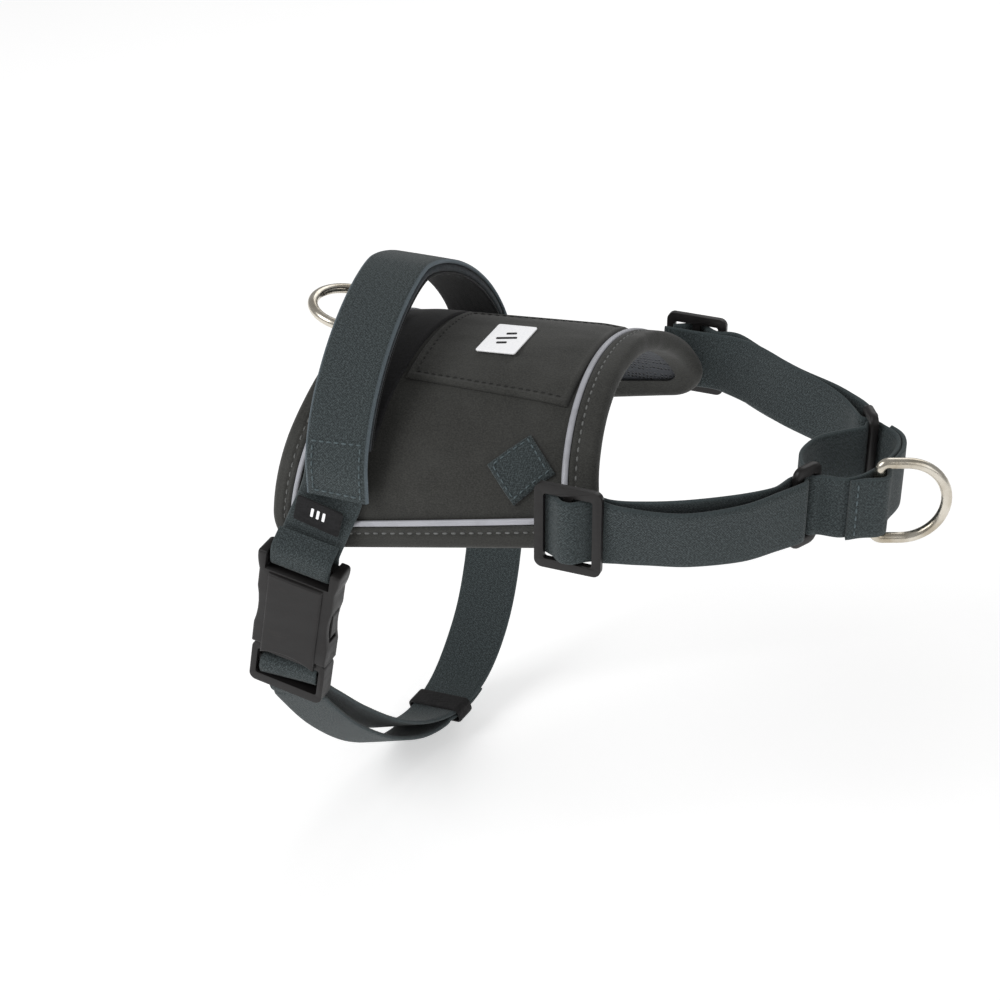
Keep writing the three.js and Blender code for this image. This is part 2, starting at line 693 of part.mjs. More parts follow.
// The keeper: a flat tube round both layers.
function keeperGeometry() {
  const innerWidth = webWidth + 2 * keeperPlay;
  const innerHeight = 2 * webThick + gap + 2 * keeperRoom;
  const shape = roundRect(new THREE.Shape(), innerWidth + 2 * keeperWall, innerHeight + 2 * keeperWall, 1.4);
  shape.holes = [roundRect(new THREE.Path(), innerWidth, innerHeight, 0.4)];
  return new THREE.ExtrudeGeometry(shape, { depth: keeperLength, bevelEnabled: false, curveSegments: 3 })
    .translate(0, 0, -keeperLength / 2);
}
const keeperStation = belly[Math.round(bellySteps * 0.45)];
const keeperMesh = add("strap_keeper", keeperGeometry(), finish.black);
{
  const w = bellyAcross(keeperStation);
  w.addScaledVector(keeperStation.along, -w.dot(keeperStation.along)).normalize();
  const n = keeperStation.along.clone().cross(w);
  keeperMesh.quaternion.setFromRotationMatrix(new THREE.Matrix4().makeBasis(w, n, keeperStation.along));
  keeperMesh.position.copy(keeperStation.at).addScaledVector(n, tailGap / 2);
}

// ---------------------------------------------------------------- rear leash ring
const ridgeAt = (x) => wrap(x, 1e-6, saddleTop).z;
const overPiping = gap + pipingHeight + gap + webThick / 2;
const foldRadius = wire / 2 + 2 * gap + webThick / 2;
const rearBar = V(rearRingPlace, 0, ridgeAt(rearRingPlace) + overPiping + foldRadius);
const around = (centre, radius, degrees) => {
  const a = THREE.MathUtils.degToRad(degrees);
  return centre.clone().add(V(-radius * Math.sin(a), 0, radius * Math.cos(a)));
};
const rearTabFront = -5;
const rearTab = [
  V(rearTabFront, 0, ridgeAt(rearTabFront) + overPiping),
  V(-11, 0, ridgeAt(-11) + overPiping),
  ...[180, 135, 90, 45, 0].map((degrees) => around(rearBar, foldRadius, degrees)),
  V(-12, 0, ridgeAt(-12) + overPiping + 3.4),
  V(rearTabFront - 1, 0, ridgeAt(rearTabFront) + overPiping + tailGap + 0.2),
];
add("rear_ring_tab", strap(run(rearTab, 40), () => V(0, 1, 0), { width: rearTabWidth }), finish.webbing);
const raise = THREE.MathUtils.degToRad(rearRingRaise);
const rearReach = V(-Math.cos(raise), 0, Math.sin(raise));
const rearPath = dPath(rearBar, V(0, 1, 0), rearReach, rearRingWidth, rearRingDepth, wire);
add("rear_d_ring", wireRing(rearPath, rearReach.clone().cross(V(0, 1, 0)).normalize(), wire), finish.steel);

// ---------------------------------------------------------------- chest straps, one each side
const patchTop = saddleTop + gap + webThick;
const innerMiddle = overEdge;
const slidePlay = 0.8; // lets the adjuster pass where the inner run starts to curve in
const glideOut = innerMiddle + 1.5 * webThick + 2 * gap + glideThick / 2 + slidePlay;
const wrapOut = glideThick / 2 + gap + webThick / 2;
const heading = THREE.MathUtils.degToRad(loopHeading);

function chestSide(name, side) {
  const longer = side > 0 ? leftLonger : 0;
  const stretch = (x) => x + longer * Math.max(0, (x - 112) / (loopPlace[0] - 112));
  const pull = (x) => (side > 0 ? 8 * Math.sin(Math.PI * THREE.MathUtils.clamp((x - 114) / 48, 0, 1)) : 0);
  const place = (x, out, z) => V(stretch(x), side * (out - pull(x)), z);
  const across = (s) => {
    const share = THREE.MathUtils.clamp((s.at.x - 107) / 60, 0, 1);
    const a = THREE.MathUtils.degToRad(chestLean) * Math.sin(Math.PI * Math.pow(share, 0.7));
    return V(0.3 * Math.sin(a), side * 0.95 * Math.sin(a), Math.cos(a));
  };
  // Diamond of webbing sewn flat on the saddle.
  const [px, ps] = patchPlace;
  const half = patchSide / 2;
  const turned = (h) => [-1, -1 / 3, 1 / 3, 1].map((i) => [-1, -1 / 3, 1 / 3, 1].map((j) => {
    const along = half * i;
    const over = half * j;
    return wrap(px + (along + over) * Math.SQRT1_2, side * (ps + (along - over) * Math.SQRT1_2), h);
  }));
  add(name + "_chest_patch", slab(turned(patchTop), turned(saddleTop + gap)), finish.webbing);

  // The loop of plastic at the strap's front end.
  const rear = place(loopPlace[0], loopPlace[1], chestHeight);
  const towards = V(Math.cos(heading), -side * Math.sin(heading), 0);
  const middle = rear.clone().addScaledVector(towards, loopDepth / 2);
  const path = loopPath(middle, V(0, 0, 1), towards, loopLength, loopDepth);
  const loopNormal = V(0, 0, 1).cross(towards).normalize();
  add(name + "_chest_loop", wireRing(path, loopNormal, loopWire, 8), finish.plastic);

  // The strap: forward beside the saddle, round the loop's rear bar and back to the adjuster.
  const fold = loopWire / 2 + 2 * gap + webThick / 2;
  const bar = (ahead, out) => rear.clone().addScaledVector(V(0.6, -side * 0.8, 0), fold * ahead)
    .addScaledVector(V(0.8, side * 0.6, 0), fold * out);
  const lift = 3; // the inner run lies a little higher than the outer run
  const points = [
    place(glidePlace - 12, innerMiddle, chestHeight + glideRaise),
    place(glidePlace, innerMiddle, chestHeight + glideRaise),
    place(107, innerMiddle, chestHeight + glideRaise),
    place(120, 65.6, chestHeight + lift),
    place(135, 58, chestHeight + lift),
    place(150, 46.6, chestHeight + lift * 0.6),
    place(158, 36.4, chestHeight),
    bar(-0.1, -1),
    bar(0.7, -0.75),
    bar(1.03, 0),
    bar(0.7, 0.75),
    bar(-0.1, 1),
    place(161, 39.4, chestHeight),
    place(151.5, 51.6, chestHeight),
    place(136, 62.6, chestHeight),
    place(122, 68.4, chestHeight + 0.4 * glideRaise),
    place(glidePlace + glideLength / 2 + 4.6, glideOut - wrapOut, chestHeight + glideRaise),
  ];
  add(name + "_chest_strap", strap(run(points, 72), across), finish.webbing);

  // The adjuster, and the part of the strap that runs through both its slots over the middle bar.
  const adjuster = new THREE.Group();
  adjuster.position.copy(place(glidePlace, glideOut, chestHeight + glideRaise));
  group.add(adjuster);
  const frame = roundRect(new THREE.Shape(), glideLength, glideHeight, 3);
  const slot = (glideLength - 2 * glideBar - glideMiddle) / 2;
  frame.holes = [-1, 1].map((k) => roundRect(new THREE.Path(), slot, webSlotWidth, 1,
    k * (glideMiddle + slot) / 2, 0));
  const plate = new THREE.ExtrudeGeometry(frame, { depth: glideThick, bevelEnabled: false, curveSegments: 4 })
    .translate(0, 0, -glideThick / 2).rotateX(Math.PI / 2);
  add(name + "_adjuster", plate, finish.plastic, adjuster);
  const inSlot = (glideMiddle + slot) / 2;
  const underBar = inSlot + 4;
  const wrapPoints = [
    V(glideLength / 2 + 2.5, -side * wrapOut, 0),
    V(underBar, -side * wrapOut, 0),
    V(inSlot, -0.2 * side, 0),
    V(glideMiddle / 2 + 0.8, side * (wrapOut + 0.1), 0),
    V(0, side * (wrapOut + 0.65), 0),
    V(-glideMiddle / 2 - 0.8, side * (wrapOut + 0.1), 0),
    V(-inSlot, -0.2 * side, 0),
    V(-underBar, -side * wrapOut, 0),
  ];
  add(name + "_adjuster_wrap", strap(run(wrapPoints, 28), () => V(0, 0, 1)), finish.webbing, adjuster);
  return rear.clone().addScaledVector(towards, loopDepth);
}
const rightBar = chestSide("right", -1);
const leftBar = chestSide("left", 1);

// ---------------------------------------------------------------- front control loop and ring
const loopFold = loopWire / 2 + 2.8 * gap + webThick / 2;
const round = (bar, x, y) => bar.clone().add(V(x, y, 0).multiplyScalar(loopFold));
const frontLoopPoints = [
  round(rightBar, 0.9, -0.55),
  V(181, -21, chestHeight),
  V(187.5, -12, chestHeight),
  V(190.8, -2, chestHeight),
  V(192.3, 8, chestHeight),
  V(190, 17, chestHeight),
  round(leftBar, 0.9, 0.55),
  round(leftBar, 0.05, 1.05),
  round(leftBar, -0.8, 0.65),
  round(leftBar, -0.9, -0.5),
  V(171, 13, chestHeight),
  V(163.5, 5, chestHeight),
  V(160.5, -6, chestHeight),
  V(162, -14, chestHeight),
  round(rightBar, -1, 0.25),
  round(rightBar, -0.8, -0.65),
  round(rightBar, 0.05, -1.05),
];
const frontSteps = 90;
const upright = () => V(0, 0, 1);
const frontRun = run(frontLoopPoints, frontSteps, true);
add("front_loop", strap(frontRun, upright, { closed: true }), finish.webbing);

// The leash ring's bar lies between the loop and a tab sewn over it.
const outwards = (s) => s.along.clone().cross(V(0, 0, 1)).normalize();
const ringShare = 2 / frontLoopPoints.length;
const ringStation = frontRun[Math.round(ringShare * frontSteps)];
const barOff = webThick / 2 + gap + wire / 2;
const frontBar = ringStation.at.clone().addScaledVector(outwards(ringStation), barOff + 0.1);
frontBar.z += frontRingRaise;
const tabFrom = 1 / frontLoopPoints.length;
const tabTo = 5.7 / frontLoopPoints.length;
const tabRun = frontRun.filter((s) => s.t >= tabFrom && s.t <= tabTo);
const tabReach = 1.3 * wire; // how far either side of the bar the tab takes to rise over it
const bump = (s) => Math.exp(-Math.pow(s.at.distanceTo(ringStation.at) / tabReach, 2));
const tabLift = (s) => webThick + gap + (2 * barOff + 0.3 - webThick - gap) * bump(s);
add("front_ring_tab", strap(tabRun, upright, { lift: tabLift }), finish.webbing);
const turn = THREE.MathUtils.degToRad(frontRingTurn);
const frontReach = V(Math.cos(turn), Math.sin(turn), 0);
const frontPath = dPath(frontBar, V(0, 0, 1), frontReach, frontRingHeight, frontRingDepth, wire);
const frontNormal = frontReach.clone().cross(V(0, 0, 1)).normalize();
add("front_d_ring", wireRing(frontPath, frontNormal, wire), finish.steel);

export default group;
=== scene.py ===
# %% [markdown]
# # A dog harness vest
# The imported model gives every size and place. This notebook builds the look of the harness round it:
# a padded softshell saddle, straps of woven webbing, moulded plastic fittings and steel rings. Each
# new piece is a surface worked out with numpy, in the same millimetres as the design, and is turned
# into metres once, when its mesh is made.

# %% Load the frame
import math

import bmesh
import bpy
import numpy as np
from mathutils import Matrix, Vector


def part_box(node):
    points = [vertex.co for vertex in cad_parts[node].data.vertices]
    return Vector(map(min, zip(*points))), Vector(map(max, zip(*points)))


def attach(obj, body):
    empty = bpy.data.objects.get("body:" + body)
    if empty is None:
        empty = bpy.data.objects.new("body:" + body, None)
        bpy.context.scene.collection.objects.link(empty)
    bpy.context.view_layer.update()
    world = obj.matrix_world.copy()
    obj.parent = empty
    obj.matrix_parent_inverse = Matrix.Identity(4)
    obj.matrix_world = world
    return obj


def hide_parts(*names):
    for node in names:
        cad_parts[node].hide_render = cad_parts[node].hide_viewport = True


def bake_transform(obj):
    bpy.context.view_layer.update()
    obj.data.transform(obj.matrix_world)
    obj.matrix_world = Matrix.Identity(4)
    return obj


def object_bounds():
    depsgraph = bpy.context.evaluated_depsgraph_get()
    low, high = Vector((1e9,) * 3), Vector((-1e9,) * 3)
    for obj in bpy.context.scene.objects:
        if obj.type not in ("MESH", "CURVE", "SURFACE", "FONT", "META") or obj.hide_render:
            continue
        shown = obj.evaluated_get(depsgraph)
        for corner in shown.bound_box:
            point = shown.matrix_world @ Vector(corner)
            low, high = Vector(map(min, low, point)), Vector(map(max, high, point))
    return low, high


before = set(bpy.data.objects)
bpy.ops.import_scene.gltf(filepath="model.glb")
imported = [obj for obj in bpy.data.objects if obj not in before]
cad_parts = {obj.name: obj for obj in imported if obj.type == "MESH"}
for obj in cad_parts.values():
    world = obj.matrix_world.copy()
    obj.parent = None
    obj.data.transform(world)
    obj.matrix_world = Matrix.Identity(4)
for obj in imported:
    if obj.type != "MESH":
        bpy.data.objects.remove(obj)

cad_low, cad_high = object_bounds()
MM = 0.001

# %% [markdown]
# ## Camera, floor and light
# A small product like this is shot with a long lens from above its shoulder, in soft light from all
# round. Big area lamps and a bright world give that; a narrow lamp would draw hard shadows under
# the straps and hide the weave.

# %% Camera
azimuth, elevation = math.radians(21.6), math.radians(30.6)
aim = Vector((50, 0, -59)) * MM
camera_distance, lens, shift = 0.778, 70.6, (-0.027, -0.002)
back = Vector((math.sin(azimuth) * math.cos(elevation), -math.cos(azimuth) * math.cos(elevation),
               math.sin(elevation)))
eye = bpy.data.objects.new("camera", bpy.data.cameras.new("camera"))
bpy.context.scene.collection.objects.link(eye)
eye.location = aim + back * camera_distance
eye.rotation_euler = (-back).to_track_quat("-Z", "Y").to_euler()
eye.data.lens = lens
eye.data.shift_x, eye.data.shift_y = shift
eye.data.clip_start = 0.01
bpy.context.scene.camera = eye
bpy.context.scene.view_settings.view_transform = "Standard"
print("camera at", [round(c, 3) for c in eye.location])

# %% Floor
floor_size, floor_gap = 6.0, 0.0006
floor_mesh = bpy.data.meshes.new("floor")
half = floor_size / 2
floor_level = cad_low.z - floor_gap
floor_mesh.from_pydata([(-half, -half, floor_level), (half, -half, floor_level),
                        (half, half, floor_level), (-half, half, floor_level)], [], [(0, 1, 2, 3)])
floor = bpy.data.objects.new("floor", floor_mesh)
bpy.context.scene.collection.objects.link(floor)
floor_finish = bpy.data.materials.new("pale_floor")
floor_finish.use_nodes = True
for key, value in (("Base Color", (0.9, 0.9, 0.9, 1)), ("Roughness", 0.9),
                   ("Emission Color", (1, 1, 1, 1)), ("Emission Strength", 0.45)):
    floor_finish.node_tree.nodes["Principled BSDF"].inputs[key].default_value = value
floor_mesh.materials.append(floor_finish)
print("floor at", round(floor_level, 4))


# %% Lamps
def lamp(name, place, size, power):
    """A square area lamp at a place in metres, turned towards the middle of the harness."""
    light = bpy.data.lights.new(name, "AREA")
    light.size = size
    light.energy = power
    it = bpy.data.objects.new(name, light)
    it.location = place
    it.rotation_euler = (Vector(place) - aim).to_track_quat("Z", "Y").to_euler()
    bpy.context.scene.collection.objects.link(it)


lamp("key", (-0.9, -0.9, 1.0), 0.9, 10.5)
lamp("fill", (1.3, -0.7, 0.6), 1.0, 3.0)
lamp("rim", (0.2, 1.2, 0.9), 1.0, 4.5)
world = bpy.data.worlds.new("studio")
world.use_nodes = True
world.node_tree.nodes["Background"].inputs["Color"].default_value = (1, 1, 1, 1)
world.node_tree.nodes["Background"].inputs["Strength"].default_value = 0.36
bpy.context.scene.world = world

# %% [markdown]
# ## From numbers to meshes
# Nearly every piece here is a grid: rows of points along it and columns round its section. One
# function joins the grid's neighbours with quads, another makes the object, closes seams and poles
# by merging points that coincide, and turns the faces outwards.


# %% Grids and meshes
def quads(rows, cols, row_loop=False, col_loop=False):
    """Corner indices of each cell of a grid; a loop joins the last row or column to the first."""
    i, j = np.meshgrid(np.arange(rows if row_loop else rows - 1),
                       np.arange(cols if col_loop else cols - 1), indexing="ij")
    up, right = (i + 1) % rows, (j + 1) % cols
    return np.stack([i * cols + j, up * cols + j, up * cols + right, i * cols + right], -1).reshape(-1, 4)


def build(name, points, faces, weave=None, sharp=48):
    """A mesh object from points in millimetres. Weave gives each point its place on the cloth, in
    millimetres, and is kept as a UV map of that name."""
    mesh = bpy.data.meshes.new(name)
    mesh.from_pydata((np.asarray(points).reshape(-1, 3) * MM).tolist(), [], faces.tolist())
    if weave is not None:
        layer = mesh.uv_layers.new(name="weave")
        layer.data.foreach_set("uv", np.asarray(weave).reshape(-1, 2)[faces.ravel()].ravel())
    work = bmesh.new()
    work.from_mesh(mesh)
    bmesh.ops.remove_doubles(work, verts=work.verts, dist=1e-6)
    bmesh.ops.recalc_face_normals(work, faces=work.faces)
    work.to_mesh(mesh)
    work.free()
    mesh.shade_smooth()
    mesh.set_sharp_from_angle(angle=math.radians(sharp))
    piece = bpy.data.objects.new(name, mesh)
    bpy.context.scene.collection.objects.link(piece)
    return piece


def dress(piece, material, slot, body, *nodes):
    """Gives a piece its finish, the body it moves with, and the nodes it shows. The slot is not used."""
    piece.data.materials.append(material)
    if nodes:
        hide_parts(*nodes)
    if body:
        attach(piece, body)
    print(piece.name, "faces:", len(piece.data.polygons))
    return piece


def slab(top, bottom):
    """A closed solid between two equal grids: both faces, and a wall of quads round the border."""
    rows, cols = top.shape[:2]
    at = np.arange(rows * cols).reshape(rows, cols)
    border = np.concatenate([at[0, :-1], at[:-1, -1], at[-1, :0:-1], at[:0:-1, 0]])
    following = np.roll(border, -1)
    under = rows * cols
    wall = np.stack([border, border + under, following + under, following], -1)
    face = quads(rows, cols)
    faces = np.concatenate([face, face[:, ::-1] + under, wall])
    return np.concatenate([top.reshape(-1, 3), bottom.reshape(-1, 3)]), faces


def unit(v):
    """Each vector of an array divided by its length."""
    return v / np.maximum(np.linalg.norm(v, axis=-1, keepdims=True), 1e-9)


def smooth(low, high, x):
    """A step from 0 to 1 between two values, 3t^2 - 2t^3 in the share t of the way."""
    t = np.clip((x - low) / (high - low), 0, 1)
    return t * t * (3 - 2 * t)


def run_length(points):
    """How far along a line of points each one lies."""
    return np.concatenate([[0], np.cumsum(np.linalg.norm(np.diff(points, axis=0), axis=1))])


def read_at(where, run, values):
    """Each column of the values, read at distances along a run."""
    return np.stack([np.interp(where, run, values[:, k]) for k in range(values.shape[1])], -1)


print("a 3 x 4 grid has", len(quads(3, 4)), "cells")

# %% [markdown]
# ## Finishes
# Cloth looks like cloth because of what lies below a millimetre: ribs of a weave, yarns that catch
# light one by one, a soft nap that brightens at grazing angles. These materials are small node
# graphs. Straps read a UV map that counts millimetres along and across them, so that the weave
# follows every bend; flat cloth, plastic and steel read Object coordinates.


# %% Node helpers
def start(name, roughness, **constants):
    """A new material, its tree and its shader with constant inputs set."""
    material = bpy.data.materials.new(name)
    material.use_nodes = True
    shader = material.node_tree.nodes["Principled BSDF"]
    shader.inputs["Roughness"].default_value = roughness
    for key, value in constants.items():
        shader.inputs[key.replace("_", " ").title().replace("Ior", "IOR")].default_value = value
    return material, material.node_tree, shader


def put(tree, socket, value):
    """Links an output to a socket, or sets a plain number or colour on it."""
    if isinstance(value, bpy.types.NodeSocket):
        tree.links.new(value, socket)
    else:
        socket.default_value = value


def calc(tree, operation, a, b=0.0, c=0.0):
    """One step of arithmetic as a Math node."""
    n = tree.nodes.new("ShaderNodeMath")
    n.operation = operation
    for socket, value in zip(n.inputs, (a, b, c)):
        put(tree, socket, value)
    return n.outputs[0]


def noise(tree, where, scale, detail=2.0, roughness=0.5):
    """Smooth random values round one half, with features about one over scale wide."""
    n = tree.nodes.new("ShaderNodeTexNoise")
    n.inputs["Scale"].default_value = scale
    n.inputs["Detail"].default_value = detail
    n.inputs["Roughness"].default_value = roughness
    tree.links.new(where, n.inputs["Vector"])
    return n.outputs["Fac"]


def object_place(tree, stretch=(1, 1, 1)):
    """Object coordinates, stretched along the axes."""
    where = tree.nodes.new("ShaderNodeTexCoord").outputs["Object"]
    mapping = tree.nodes.new("ShaderNodeMapping")
    mapping.inputs["Scale"].default_value = stretch
    tree.links.new(where, mapping.inputs["Vector"])
    return mapping.outputs["Vector"]


def blend_colours(tree, share, first, second):
    """A colour between two, by share."""
    n = tree.nodes.new("ShaderNodeMix")
    n.data_type = "RGBA"
    put(tree, n.inputs["Factor"], share)
    put(tree, n.inputs["A"], first)
    put(tree, n.inputs["B"], second)
    return n.outputs["Result"]


def span(tree, value, low, high, to_low=0.0, to_high=1.0):
    """A value's range moved to another range, and held inside it."""
    n = tree.nodes.new("ShaderNodeMapRange")
    for socket, number in zip(list(n.inputs)[1:5], (low, high, to_low, to_high)):
        socket.default_value = number
    tree.links.new(value, n.inputs["Value"])
    return n.outputs["Result"]


def relief(tree, shader, height, depth, under=None):
    """A bump of a depth in metres from a height of 0 to 1, on top of another bump if one is given."""
    n = tree.nodes.new("ShaderNodeBump")
    if under:
        tree.links.new(under, n.inputs["Normal"])
    n.inputs["Distance"].default_value = depth
    tree.links.new(height, n.inputs["Height"])
    tree.links.new(n.outputs["Normal"], shader.inputs["Normal"])
    return n.outputs["Normal"]


def rgb(red, green, blue):
    """A colour as the eye reads it, 0 to 255, made linear."""
    c = np.array([red, green, blue]) / 255
    linear = np.where(c <= 0.04045, c / 12.92, ((c + 0.055) / 1.055) ** 2.4)
    return (*linear.tolist(), 1)


print("mid grey is", round(rgb(128, 128, 128)[0], 3), "linear")


# %% Webbing: herringbone ribs, flecked yarns, and an edge colour: selvedge yarn on straps, a painted highlight on the handle
def webbing_finish(name, ground, fleck, edge, half_width=12.5):
    """Herringbone: the place across, folded back and forth, is added to the place along, and a sine
    of that sum makes slanted ribs. A second sine across makes the warp yarns."""
    material, tree, shader = start(name, 0.86, sheen_weight=0.12, sheen_roughness=0.5, specular_ior_level=0.3)
    uv = tree.nodes.new("ShaderNodeUVMap")
    uv.uv_map = "weave"
    split = tree.nodes.new("ShaderNodeSeparateXYZ")
    tree.links.new(uv.outputs["UV"], split.inputs[0])
    along, aside = split.outputs[0], split.outputs[1]
    folded = calc(tree, "PINGPONG", calc(tree, "ADD", aside, 50.0), 1.6)
    ribs = calc(tree, "SINE", calc(tree, "MULTIPLY", calc(tree, "ADD", along, folded), 2 * math.pi / 1.0))
    warp = calc(tree, "SINE", calc(tree, "MULTIPLY", aside, 2 * math.pi / 0.62))
    specks = noise(tree, uv.outputs["UV"], 1.3, 3.0, 0.75)
    height = calc(tree, "MULTIPLY_ADD", ribs, 0.2, 0.5)
    height = calc(tree, "MULTIPLY_ADD", warp, 0.12, height)
    height = calc(tree, "MULTIPLY_ADD", specks, 0.8, height)
    relief(tree, shader, height, 0.00022)
    bright = span(tree, calc(tree, "MULTIPLY_ADD", ribs, 0.05, specks), 0.42, 0.66)
    cloth = blend_colours(tree, bright, ground, fleck)
    # The edge colour runs along both borders. On the straps and the black tape it is the selvedge yarn's own
    # tone; on the handle it is a painted highlight where light catches its edges.
    rim = span(tree, calc(tree, "ABSOLUTE", aside), half_width - 1.2, half_width - 0.3, 0.0, 0.75)
    put(tree, shader.inputs["Base Color"], blend_colours(tree, rim, cloth, edge))
    put(tree, shader.inputs["Roughness"], span(tree, specks, 0.3, 0.7, 0.95, 0.78))
    return material


webbing = webbing_finish("webbing", rgb(43, 50, 51), rgb(78, 87, 89), rgb(64, 73, 75))
# The handle's pale edge colour is a painted highlight along its lit edges.
handle_webbing = webbing_finish("handle_webbing", rgb(47, 54, 55), rgb(82, 91, 93), rgb(112, 124, 132))
black_tape = webbing_finish("black_tape", rgb(15, 16, 17), rgb(32, 34, 36), rgb(24, 25, 27))
print("webbing nodes:", len(webbing.node_tree.nodes))


# %% Softshell: a smooth laminate with a fine twill grain and a soft nap
def softshell_finish():
    """Fine noise stretched along the twill for the grain, and slow noise for where hands have
    rubbed the nap."""
    material, tree, shader = start("softshell", 0.88, sheen_weight=0.12, sheen_roughness=0.45,
                                   specular_ior_level=0.35)
    grain = noise(tree, object_place(tree, (1500, 1500, 2600)), 1.0, 2.0, 0.6)
    rubbed = noise(tree, object_place(tree), 38.0, 3.0, 0.55)
    cloth = blend_colours(tree, span(tree, grain, 0.35, 0.68), rgb(49, 49, 47), rgb(66, 66, 63))
    cloth = blend_colours(tree, span(tree, rubbed, 0.5, 0.78, 0.0, 0.35), cloth, rgb(76, 76, 73))
    put(tree, shader.inputs["Base Color"], cloth)
    put(tree, shader.inputs["Roughness"], span(tree, rubbed, 0.35, 0.7, 0.95, 0.8))
    creases = noise(tree, object_place(tree, (22, 40, 60)), 1.0, 2.0, 0.5)
    relief(tree, shader, grain, 0.00012, relief(tree, shader, creases, 0.0016))
    return material


softshell = softshell_finish()
print("softshell nodes:", len(softshell.node_tree.nodes))


# %% Lining: a knitted spacer mesh with small round holes
def mesh_finish():
    """Cells of a Voronoi pattern: their middles are the holes, darker and lower than the knit."""
    material, tree, shader = start("lining_mesh", 0.92, sheen_weight=0.2)
    cells = tree.nodes.new("ShaderNodeTexVoronoi")
    cells.inputs["Scale"].default_value = 620
    cells.inputs["Randomness"].default_value = 0.25
    tree.links.new(object_place(tree), cells.inputs["Vector"])
    knit = span(tree, cells.outputs["Distance"], 0.18, 0.42)
    put(tree, shader.inputs["Base Color"], blend_colours(tree, knit, rgb(26, 27, 30), rgb(66, 69, 74)))
    relief(tree, shader, knit, 0.0005)
    return material


lining_mesh = mesh_finish()
print("lining nodes:", len(lining_mesh.node_tree.nodes))


# %% Plastic: fine spark-eroded grain, with scuffs that are paler and duller
def plastic_finish(name, colour, scuff):
    """Fine noise for the moulded grain, slow noise for scuffs."""
    material, tree, shader = start(name, 0.4, specular_ior_level=0.38)
    grain = noise(tree, object_place(tree), 2400.0, 2.0)
    scuffs = noise(tree, object_place(tree, (60, 60, 150)), 1.0, 5.0, 0.65)
    worn = span(tree, scuffs, 0.56, 0.74)
    put(tree, shader.inputs["Base Color"], blend_colours(tree, worn, colour, scuff))
    put(tree, shader.inputs["Roughness"], span(tree, scuffs, 0.35, 0.7, 0.34, 0.56))
    relief(tree, shader, grain, 0.00004)
    return material


acetal = plastic_finish("acetal", rgb(27, 25, 25), rgb(42, 39, 39))
print("plastic nodes:", len(acetal.node_tree.nodes))


# %% Steel: bright wire with drawing marks along it
def steel_finish():
    """Noise stretched along the wire's length turns the polish into fine lines."""
    material, tree, shader = start("steel", 0.2, metallic=1.0)
    marks = noise(tree, object_place(tree, (900, 300, 900)), 1.0, 4.0, 0.6)
    tarnish = noise(tree, object_place(tree), 90.0, 3.0)
    put(tree, shader.inputs["Base Color"],
        blend_colours(tree, span(tree, tarnish, 0.4, 0.7), rgb(214, 208, 196), rgb(176, 166, 148)))
    put(tree, shader.inputs["Roughness"], span(tree, marks, 0.3, 0.7, 0.14, 0.34))
    relief(tree, shader, marks, 0.00002)
    return material


steel = steel_finish()
print("steel nodes:", len(steel.node_tree.nodes))


# %% Reflective tape, white label, knitted padding and sewing thread
def beaded_finish():
    """Glass beads: a very fine Voronoi pattern in a pale, slightly metallic film."""
    material, tree, shader = start("reflective_tape", 0.4, metallic=0.1, coat_weight=0.15)
    beads = tree.nodes.new("ShaderNodeTexVoronoi")
    beads.inputs["Scale"].default_value = 3800
    tree.links.new(object_place(tree), beads.inputs["Vector"])
    soiled = noise(tree, object_place(tree), 120.0, 4.0)
    dirt = span(tree, soiled, 0.45, 0.75, 0.0, 0.6)
    film = blend_colours(tree, dirt, rgb(184, 185, 192), rgb(150, 150, 154))
    put(tree, shader.inputs["Base Color"], film)
    put(tree, shader.inputs["Roughness"], span(tree, beads.outputs["Distance"], 0.0, 0.7, 0.3, 0.6))
    relief(tree, shader, beads.outputs["Distance"], 0.00005)
    return material


def cloth_finish(name, low, high, scale, depth, roughness=0.85):
    """Plain cloth: two stretched noises make the crossing yarns."""
    material, tree, shader = start(name, roughness, sheen_weight=0.1, specular_ior_level=0.3)
    first = noise(tree, object_place(tree, (scale, scale / 6, scale)), 1.0, 2.0)
    second = noise(tree, object_place(tree, (scale / 6, scale, scale / 2)), 1.0, 2.0)
    yarns = calc(tree, "MULTIPLY_ADD", first, 0.5, calc(tree, "MULTIPLY", second, 0.5))
    put(tree, shader.inputs["Base Color"], blend_colours(tree, span(tree, yarns, 0.38, 0.62), low, high))
    relief(tree, shader, yarns, depth)
    return material


reflective = beaded_finish()
satin_painted_glow = cloth_finish("white_satin_painted_glow", rgb(242, 242, 247), rgb(254, 254, 255), 2600, 0.00006, 0.5)
# The satin also gets a faint emission: a painted glow that keeps the label and the tag's bars bright white,
# though they are no lamp.
satin_painted_glow.node_tree.nodes["Principled BSDF"].inputs["Emission Color"].default_value = (1, 1, 1, 1)
satin_painted_glow.node_tree.nodes["Principled BSDF"].inputs["Emission Strength"].default_value = 0.22
padding = cloth_finish("padding_knit", rgb(40, 45, 49), rgb(60, 66, 71), 1400, 0.0002)
pale_thread = cloth_finish("pale_thread", rgb(98, 99, 98), rgb(124, 125, 124), 3000, 0.00008, 0.6)
web_thread = cloth_finish("web_thread", rgb(76, 88, 92), rgb(98, 111, 115), 3000, 0.00008, 0.6)
dark_thread = cloth_finish("dark_thread", rgb(34, 34, 33), rgb(50, 50, 48), 3000, 0.00008, 0.6)
black_cloth = cloth_finish("black_cloth", rgb(17, 17, 18), rgb(30, 30, 32), 1900, 0.0001)
elastic_knit = cloth_finish("elastic_knit", rgb(14, 13, 14), rgb(30, 29, 30), 1500, 0.00025)
print("finishes:", len(bpy.data.materials))

# %% [markdown]
# ## The saddle's surface
# The saddle is cut flat and bent over the back. So it is described in two steps: a flat pattern with
# round corners, and a wrap that carries a flat point to the arch. Everything sewn on the saddle uses
# the same two functions, which is what keeps the layers together.

